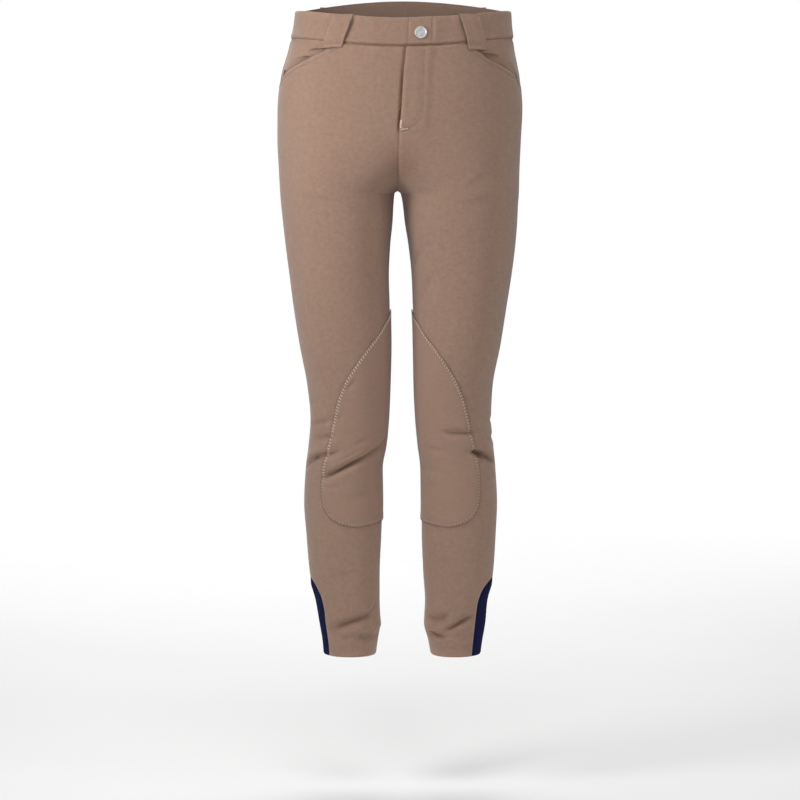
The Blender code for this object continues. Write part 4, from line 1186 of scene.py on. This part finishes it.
# Along a belt loop from its top: share of the length, and share of the full stand-off
LOOP_PROFILE = (
    (0.0, 0.0), (0.10, 0.25), (0.20, 0.85), (0.32, 1.0), (0.52, 1.0),
    (0.68, 0.95), (0.80, 0.62), (0.90, 0.12), (1.0, 0.0),
)
loop_stand = curve_through(LOOP_PROFILE)
LOOP_DOWN = np.append(np.linspace(0.0, 0.975, 41), [0.985, 0.993, 1.0])
LOOP_ACROSS = np.sort(np.append(np.linspace(-0.5, 0.5, 22), [-0.49, -0.475, 0.475, 0.49]))


def loop_grid(width, seam, below):
    """Share down a loop, distance across it and height."""
    share, across = np.meshgrid(LOOP_DOWN, LOOP_ACROSS * width, indexing="ij")
    z = seam + BAND_HEIGHT - LOOP_TOP_DROP - (BAND_HEIGHT - LOOP_TOP_DROP + below) * share
    return share, across, z


def loop_cloth(name, places, across, share, seam, below, phase):
    """A loop from its places: it stands off, ripples a little and is folded at its edges."""
    side, turn, z = places
    base = BAND_PROUD * smooth(*LOOP_STEPS_OFF, z - seam)
    half = across[0, -1]
    ripple = LOOP_RIPPLE * np.sin(across / half * 4.2 + phase + 2.0 * share) * smooth(0.0, 0.25, share)
    turned = LOOP_TURNED * smooth(0.93, 0.97, share)
    raised = SEAM + base + LOOP_GAP * loop_stand(share) + ripple + turned + LOOP_CLOTH
    if np.ndim(side) == 0:
        points, normal = surface(side, turn, z), surface_normal(side, turn, z)
    else:
        both = [(surface(s, turn, z), surface_normal(s, turn, z)) for s in (-1, 1)]
        left = (side > 0)[..., None]
        points = np.where(left, both[1][0], both[0][0])
        normal = np.where(left, both[1][1], both[0][1])
        normal[..., 0] *= smooth(0.0, 0.004, np.abs(across))
    length = BAND_HEIGHT + below
    from_edge = np.minimum(half - np.abs(across), (share[-1:] - share) * length)
    dip = LOOP_EDGE[0] * (1.0 - smooth(0.0, LOOP_EDGE[1], from_edge))
    outer = points + normal * (raised - dip)[..., None]
    inner = points + normal * (raised - LOOP_CLOTH + 0.5 * dip)[..., None]
    weave = np.stack([across, share * length, 0.0 * share], axis=-1)
    piece = shell_mesh(name + "_cloth", outer, inner, weave, 1.0 - smooth(0.0, 0.005, from_edge))
    finish_cloth(piece, name, tan_cloth, "main_cloth", (2.0 * half, length), 2.0 * half * length,
                 "folded", tan_cloth)


for number, (name, side, face, angle_top, angle_foot, below, width) in enumerate(LOOPS):
    seam = float(band_seam(-face * math.radians(0.5 * (angle_top + angle_foot))))
    share, across, z = loop_grid(width, seam, below)
    angle = math.radians(angle_top) + math.radians(angle_foot - angle_top) * share
    middle = surface(side, -face * angle, z)
    beside = surface(side, -face * (angle + 0.01), z)
    turn = -face * (angle + across * 0.01 / np.linalg.norm(beside - middle, axis=-1))
    loop_cloth(name, (side, turn, z), across, share, seam, below, 1.7 * number)

seam = float(band_seam(-0.5 * math.pi))
share, across, z = loop_grid(LOOP_BACK_WIDTH, seam, LOOP_FOOT)
side = np.where(across > 0.0, 1, -1)
turn = np.where(side > 0, turn_at(1, 1, WORN["mid"](z) + np.abs(across), z),
                turn_at(-1, 1, WORN["mid"](z) - np.abs(across), z))
loop_cloth("belt_loop_back_center", (side, turn, z), across, share, seam, LOOP_FOOT, 0.6)


# ---- Knee patches -----------------------------------------------------------------------------
# A patch of matt cloth laid over the inside of each knee, wide in front and narrower behind.
# Its raw edge is held flat by one row of zigzag stitching in pale thread.

# The front edge, as height and angle from the side seam
PATCH = (
    (-0.388, 174.0), (-0.400, 152.0), (-0.415, 136.0), (-0.435, 118.0), (-0.458, 100.0),
    (-0.482, 84.0), (-0.510, 72.0), (-0.545, 64.0), (-0.580, 59.0), (-0.612, 57.5),
    (-0.636, 60.0), (-0.652, 66.0), (-0.662, 75.0), (-0.668, 88.0), (-0.672, 108.0),
)
PATCH_BACK_SHARE = 0.5
PATCH_INSEAM_FOOT = -0.665
PATCH_PEAK = 0.004
PATCH_SHELL = 0.0011
PATCH_LIES = SEAM + 0.0012
PATCH_RINGS = 44
PATCH_STEPS = 300
PATCH_MIDDLE = (2.35, -0.565)
PATCH_CUT = ((0.235, 0.290), 0.0440)
TAN_PATCH = (0.362, 0.230, 0.167)
# Its raw edge and the channel of its stitching: depth, then width. The cloth past them swells.
PATCH_EDGE = (0.0008, 0.0016)
PATCH_CHANNEL = (0.00035, 0.0022)
PATCH_PUFF = 0.0003
PATCH_PUFF_AT = 0.0068
PATCH_PUFF_WIDE = 0.0030
ZIGZAG_PITCH = 0.0042
ZIGZAG_WIDTH = 0.0046
ZIGZAG_INSET = 0.0029
ZIGZAG_THREAD = 0.00056
RETURN_THREAD = 0.00030
PIT_SHADE_RADIUS = 0.00034
# The pale thread gets painted shade through the cloth's shade mark: partly all along on the left leg, and
# fully towards the foot
ZIGZAG_SHADE_SHARE = {-1: 0.0, 1: 0.55}
ZIGZAG_SHADE_FROM = -0.585
ZIGZAG_SHADE_TO = -0.635
patch_angle = curve_through([(height, math.radians(angle)) for height, angle in PATCH])
patch_cloth = cloth_material("tan matt patch cloth", TAN_PATCH, clouding=0.13, fibre=0.12, pitch=0.0007,
                             sheen=0.28)


def closed_run(points):
    """Distance run round a closed row of points."""
    steps = np.linalg.norm(np.roll(points, -1, axis=0) - points, axis=1)
    return np.concatenate([[0.0], np.cumsum(steps)])


def patch_border(side):
    """Places round a patch, evenly spaced over the cloth, as turns past the inseam and heights."""
    z = np.linspace(PATCH[0][0], PATCH[-1][0], 160)
    front = patch_angle(z)
    back = math.pi + PATCH_BACK_SHARE * (math.pi - front)
    turns = np.concatenate([[math.pi], front, [math.pi], back[::-1]])
    heights = np.concatenate([[PATCH[0][0] + PATCH_PEAK], z, [PATCH_INSEAM_FOOT], z[::-1]])
    for _ in range(2):
        run = closed_run(surface(side, turns, heights))
        marks = np.linspace(0.0, run[-1], PATCH_STEPS + 1)[:-1]
        turns = np.interp(marks, run, np.append(turns, turns[0]))
        heights = np.interp(marks, run, np.append(heights, heights[0]))
        rounded = np.array([0.25, 0.5, 0.25])
        turns, heights = (np.convolve(np.concatenate([row[-1:], row, row[:1]]), rounded, "valid")
                          for row in (turns, heights))
    return turns, heights


def toward_middle(turns, heights, share):
    """Places between a patch's middle and its border."""
    return [middle + (row - middle) * share for middle, row in zip(PATCH_MIDDLE, (turns, heights))]


for side, word in SIDES:
    turns, heights = patch_border(side)
    middle = surface(side, *(np.full(PATCH_STEPS, value) for value in PATCH_MIDDLE))
    reach = np.linalg.norm(surface(side, turns, heights) - middle, axis=1)
    ring = np.linspace(0.0, 1.0, PATCH_RINGS)[:, None] * (1.0 - 0.0019 / reach)
    ring = np.concatenate([ring, 1.0 - np.array(RIM_STEPS[2::-1])[:, None] / reach])
    turn, z = (np.concatenate([grid, grid[:, :1]], axis=1) for grid in toward_middle(turns, heights, ring))
    base = surface(side, turn, z)
    normal = surface_normal(side, turn, z)
    from_edge = (1.0 - np.concatenate([ring, ring[:, :1]], axis=1)) * np.append(reach, reach[0])
    dip = PATCH_EDGE[0] * (1.0 - smooth(0.0, PATCH_EDGE[1], from_edge))
    dip = dip - groove(from_edge - ZIGZAG_INSET, *PATCH_CHANNEL)
    near = 1.0 - smooth(0.0, 0.007, from_edge)
    puff = PATCH_PUFF * np.exp(-((from_edge - PATCH_PUFF_AT) / PATCH_PUFF_WIDE) ** 2)
    outer = base + normal * (PATCH_LIES - dip + puff)[..., None]
    inner = base + normal * (PATCH_LIES - PATCH_SHELL)
    weave = np.stack([turn * FOLD_RADIUS, z, 0.0 * z], axis=-1)
    name = "knee_patch_" + word
    piece = shell_mesh(name + "_cloth", outer, inner, weave, near, fold_height(side, turn, z))
    mesh = bmesh.new()
    mesh.from_mesh(piece.data)
    bmesh.ops.remove_doubles(mesh, verts=mesh.verts, dist=0.00001)
    mesh.to_mesh(piece.data)
    mesh.free()
    finish_cloth(piece, name, patch_cloth, "patch_cloth", *PATCH_CUT, "stretched", patch_cloth)

    seam = toward_middle(turns, heights, 1.0 - ZIGZAG_INSET / reach)
    facing = surface_normal(side, *seam)
    line = surface(side, *seam) + facing * (PATCH_LIES - 0.00005)
    run = closed_run(line)
    legs = 2 * int(run[-1] / ZIGZAG_PITCH)
    marks = np.linspace(0.0, run[-1], legs + 1)
    at, up = (np.stack([np.interp(marks, run, np.append(row[:, k], row[0, k])) for k in range(3)], axis=1)
              for row in (line, facing))
    ahead = np.roll(at[:-1], -1, axis=0) - np.roll(at[:-1], 1, axis=0)
    ahead = np.concatenate([ahead, ahead[:1]])
    outward = np.cross(up, ahead / np.linalg.norm(ahead, axis=1, keepdims=True))
    swing = np.where(np.arange(legs + 1) % 2 == 0, 0.5, -0.5)[:, None] * ZIGZAG_WIDTH * side
    tips = at + outward * swing
    zigzag = list(zip(tips[:-1], tips[1:], up[:-1]))
    stitches = sew("knee_patch_zigzag_" + word, zigzag[::2], ZIGZAG_THREAD, pale_thread)
    # Painted shade on the zigzag thread, by leg and towards the foot
    heights = np.array([vertex.co.z for vertex in stitches.data.vertices])
    toward_foot = smooth(ZIGZAG_SHADE_FROM, ZIGZAG_SHADE_TO, heights)
    mark(stitches.data, "painted_shade", ZIGZAG_SHADE_SHARE[side] + (1.0 - ZIGZAG_SHADE_SHARE[side]) * toward_foot)
    sew("knee_patch_return_" + word, zigzag[1::2], RETURN_THREAD, tan_thread)
    # Painted shade: short dark thread marks at each needle prick stand in for the shade in its pit
    pricks = tips + 0.0004 * outward * np.sign(swing)
    pit_shade_marks = list(zip(pricks - 0.0007 * outward, pricks + 0.0007 * outward, up))
    sew("knee_patch_pit_shade_" + word, pit_shade_marks, PIT_SHADE_RADIUS, dark_thread)


# ---- Ankle insets -----------------------------------------------------------------------------
# A wedge of navy stretch rib knit let into the outer side of each ankle, so that the leg draws
# close under a boot. The cloth beside it is turned under and stitched.

NAVY = (0.0060, 0.0090, 0.0500)
RIB_PITCH = 0.0021
RIB_DEPTH = 0.00030
RIB_CELLS = 6
INSET_SUNK = 0.0002
INSET_SWELL = 0.0022
INSET_TIP = 0.0010
INSET_SHELL = 0.0012
INSET_ROWS = 60
INSET_STITCH = 0.0046 / 0.045  # the row of stitches beside it, as a turn past its edge
INSET_CUTS = {-1: ((0.063, 0.104), 0.0058), 1: ((0.076, 0.104), 0.0073)}


def knit_material(name, color):
    """Rib knit: small loops of soft yarn on raised ribs, darker between them."""
    material, tree, shader = new_material(name)
    napped = group_node(tree, nap, {"Color": (*color, 1.0), "Clouding": 0.35, "Fibre": 0.5})
    woven = group_node(tree, twill, {"Pitch": 0.0011})
    height = sum_up(tree, "MULTIPLY_ADD", woven.outputs["Height"], 0.8, napped.outputs["Height"])
    bump = place(tree, "Bump", {"Height": height, "Distance": 0.00018, "Strength": 1.0})
    fill(tree, shader, {
        "Base Color": napped.outputs["Color"], "Roughness": napped.outputs["Roughness"],
        "Normal": bump.outputs["Normal"], "Specular IOR Level": 0.15, "Sheen Weight": 0.03,
        "Sheen Tint": (0.3, 0.35, 0.7, 1.0)})
    return material


navy_knit = knit_material("navy rib knit", NAVY)
for side, word in SIDES:
    z = np.linspace(INSET[0][0] - INSET_TIP, HEM, INSET_ROWS)
    opening = inset_angle[side](z)
    front, back = (surface(side, turned * opening[-1:], z[-1:]) for turned in (1.0, -1.0))
    widest = np.linalg.norm(front - back)
    columns = RIB_CELLS * int(1.05 * widest / RIB_PITCH) + 1
    share = np.linspace(-1.0, 1.0, columns)
    turn = opening[:, None] * share
    z = np.repeat(z[:, None], columns, axis=1)
    across = run_along(surface(side, turn, z), 1)
    half = 0.5 * across[:, -1:]
    ribs = RIB_DEPTH * (np.abs(np.sin(np.pi * (across - half) / RIB_PITCH)) - 1.0) * smooth(0.0, 0.004, half)
    swell = INSET_SWELL * (1.0 - share ** 2) * smooth(INSET[0][0], INSET[2][0], z)
    name = "ankle_inset_" + word
    piece = cloth_shell(name + "_cloth", side, turn, z, swell - INSET_SUNK, INSET_SHELL,
                        (SEWN, SEWN, SEWN, FREE), ribs)
    finish_cloth(piece, name, navy_knit, "inset_knit", *INSET_CUTS[side], "stretched", navy_knit)

    z = np.linspace(INSET[0][0] - 0.001, HEM + 0.003, 40)
    stitched = []
    for toward in (-1.0, 1.0):
        path = path_on(side, toward * (inset_angle[side](z) + INSET_STITCH), z, 0.0)
        stitched += running_stitches(path, 0.0028, 0.0008)
    sew("ankle_stitching_" + word, stitched, THREAD_FINE, tan_thread)


# ---- Hems -------------------------------------------------------------------------------------
# The ankle edges are turned up once and held by a plain row of stitching all round the cloth.

HEM_TURNED = 0.014
HEM_CLEAR = 0.03
for side, word in SIDES:
    height = HEM + HEM_TURNED
    opening = float(inset_angle[side](height)) + HEM_CLEAR
    turns = np.linspace(opening, math.tau - opening, 60)
    path = path_on(side, turns, np.full(60, height), 0.0)
    sew("hem_stitching_" + word, running_stitches(path), THREAD_FINE, tan_thread)


# ---- Button -----------------------------------------------------------------------------------
# A turned pewter tack button with a plain dished face and a raised rim, through the tab.

BUTTON_RADIUS = 0.0080
BUTTON_FROM_EDGE = 0.0165
BUTTON_HEIGHT = -0.0252
BUTTON_STEPS = 72
PEWTER = (0.820, 0.810, 0.825)
# Half of its section, as shares of its radius: across and up, from under its middle, round the
# rim and in to the middle of its face
BUTTON_SECTION = (
    (0.0, 0.0), (0.44, 0.0), (0.46, 0.05), (0.55, 0.065), (0.90, 0.075), (0.965, 0.10), (0.995, 0.145),
    (1.0, 0.185), (0.985, 0.235), (0.95, 0.268), (0.905, 0.278), (0.865, 0.268), (0.835, 0.242),
    (0.81, 0.222), (0.76, 0.212), (0.68, 0.210), (0.50, 0.218), (0.30, 0.228), (0.12, 0.236), (0.0, 0.238),
)

pewter, tree, shader, worn = metal_material("brushed pewter", PEWTER, 0.70, (0.30, 0.62),
                                            {"scale": 260.0, "detail": 4.0, "Roughness": 0.65})
gloss = place(tree, "MapRange", {"Value": worn, "To Min": 0.32, "To Max": 0.50}).outputs[0]
dents = spots(tree, place(tree, "TexCoord").outputs["Object"], 900.0, 2.0).outputs[0]
dented = place(tree, "Bump", {"Height": dents, "Distance": 0.00003, "Strength": 1.0}).outputs["Normal"]
fill(tree, shader, {"Roughness": gloss, "Normal": dented, "Metallic": 0.80})

button_z = np.array([BUTTON_HEIGHT])
button_turn = fly_turn(BUTTON_FROM_EDGE, button_z)
button_faces = Vector(surface_normal(1, button_turn, button_z)[0])
button_seat = Vector(surface(1, button_turn, button_z)[0]) + button_faces * (BAND_PROUD + TAB_RAISE + SEAM)
mesh = bpy.data.meshes.new("button_turned")
turned = bmesh.new()
profile = [turned.verts.new((BUTTON_RADIUS * r, 0.0, BUTTON_RADIUS * h)) for r, h in BUTTON_SECTION]
edges = [turned.edges.new(pair) for pair in zip(profile, profile[1:])]
bmesh.ops.spin(turned, geom=profile + edges, axis=(0, 0, 1), cent=(0, 0, 0), angle=math.tau,
               steps=BUTTON_STEPS, use_merge=True)
bmesh.ops.remove_doubles(turned, verts=turned.verts, dist=0.000005)
bmesh.ops.recalc_face_normals(turned, faces=turned.faces)
turned.transform(button_faces.to_track_quat("Z", "Y").to_matrix().to_4x4())
turned.to_mesh(mesh)
turned.free()
mesh.shade_smooth()
mesh.materials.append(pewter)
button = add_object("button_turned", mesh)
button.location = button_seat
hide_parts("button")
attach(button, "root")


# ---- Floor, light and camera ------------------------------------------------------------------
# A plain pale round floor below the breeches, which hang over it as they are worn, under broad
# soft light from the wearer's right. The floor thins out at its rim into the white of the room.

FLOOR = -1.03
FLOOR_RADIUS = 3.6
FLOOR_SIDES = 96
FLOOR_WHOLE = 0.30
FLOOR_GONE = 0.85
ROOM_SEEN = 1.0
ROOM_LIGHT = 0.07
CAMERA_PLACE = (0.0, -4.0, -0.20)
CAMERA_AIM = (0.0, 0.0, -0.5066)
CAMERA_LENS = 135.5

mesh = bpy.data.meshes.new("floor_disc")
rim = [math.tau * i / FLOOR_SIDES for i in range(FLOOR_SIDES)]
mesh.from_pydata([(FLOOR_RADIUS * math.cos(a), FLOOR_RADIUS * math.sin(a), FLOOR) for a in rim], [],
                 [tuple(range(FLOOR_SIDES))])
paper, tree, shader = new_material("pale paper")
where = place(tree, "TexCoord").outputs["Object"]
tone = place(tree, "ValToRGB", {"Fac": spots(tree, where, 2.0, 2.0).outputs[0]})
tone.color_ramp.elements[0].color = (0.86, 0.86, 0.86, 1.0)
tone.color_ramp.elements[1].color = (0.90, 0.90, 0.90, 1.0)
flat = place(tree, "Mapping", {"Vector": where, "Location": (0.0, 0.0, -FLOOR / FLOOR_RADIUS),
                               "Scale": (1.0 / FLOOR_RADIUS,) * 3})
inward = place(tree, "TexGradient", {"Vector": flat.outputs[0]}, gradient_type="SPHERICAL")
fade = place(tree, "MapRange", {"Value": inward.outputs["Fac"], "From Min": 1.0 - FLOOR_GONE,
                                "From Max": 1.0 - FLOOR_WHOLE}, interpolation_type="SMOOTHSTEP")
fill(tree, shader, {"Base Color": tone.outputs[0], "Roughness": 0.9, "Alpha": fade.outputs[0]})
mesh.materials.append(paper)
floor = add_object("floor_disc", mesh)


def aim_at(item, at, aim):
    """Puts a light or the camera at a place and turns it to another."""
    item.location = at
    item.rotation_euler = (Vector(aim) - Vector(at)).to_track_quat("-Z", "Y").to_euler()


# Columns: name, place, aim, width, height, power
LIGHTS = (
    ("key", (-0.75, -0.55, 0.05), (-0.12, 0.0, -0.15), 0.35, 0.50, 5.7),
    ("left", (-0.4, -3.6, 0.5), (0.0, 0.0, -0.4), 0.8, 0.8, 12.2),
    ("right", (1.6, -2.2, 0.3), (0.0, 0.0, -0.4), 1.2, 1.2, 6.5),
    ("side", (1.1, -0.6, 0.1), (0.05, 0.0, -0.3), 0.5, 0.8, 2.3),
    ("top", (0.0, -1.6, 2.2), (0.0, 0.0, -0.4), 1.4, 1.0, 20.0),
    ("back", (-0.6, 3.6, 0.9), (0.0, 0.0, -0.4), 1.8, 1.6, 44.0),
    ("floor", (0.0, 1.6, 2.4), (0.0, 1.5, -1.03), 2.0, 2.0, 75.0),
)
for name, at, aim, width, height, power in LIGHTS:
    light = bpy.data.lights.new(name, "AREA")
    light.shape = "RECTANGLE"
    light.size = width
    light.size_y = height
    light.energy = power
    lamp = add_object(name, light)
    aim_at(lamp, at, aim)
    lamp.visible_camera = False

world = bpy.data.worlds.new("soft studio")
world.use_nodes = True
tree = world.node_tree
seen = place(tree, "LightPath").outputs["Is Camera Ray"]
strength = sum_up(tree, "MULTIPLY_ADD", seen, ROOM_SEEN - ROOM_LIGHT, ROOM_LIGHT)
fill(tree, tree.nodes["Background"], {"Color": (1.0, 1.0, 1.0, 1.0), "Strength": strength})
bpy.context.scene.world = world
bpy.context.scene.view_settings.view_transform = "Standard"

lens = bpy.data.cameras.new("camera")
lens.lens = CAMERA_LENS
lens.sensor_width = 36.0
camera = add_object("camera", lens)
aim_at(camera, CAMERA_PLACE, CAMERA_AIM)
bpy.context.scene.camera = camera
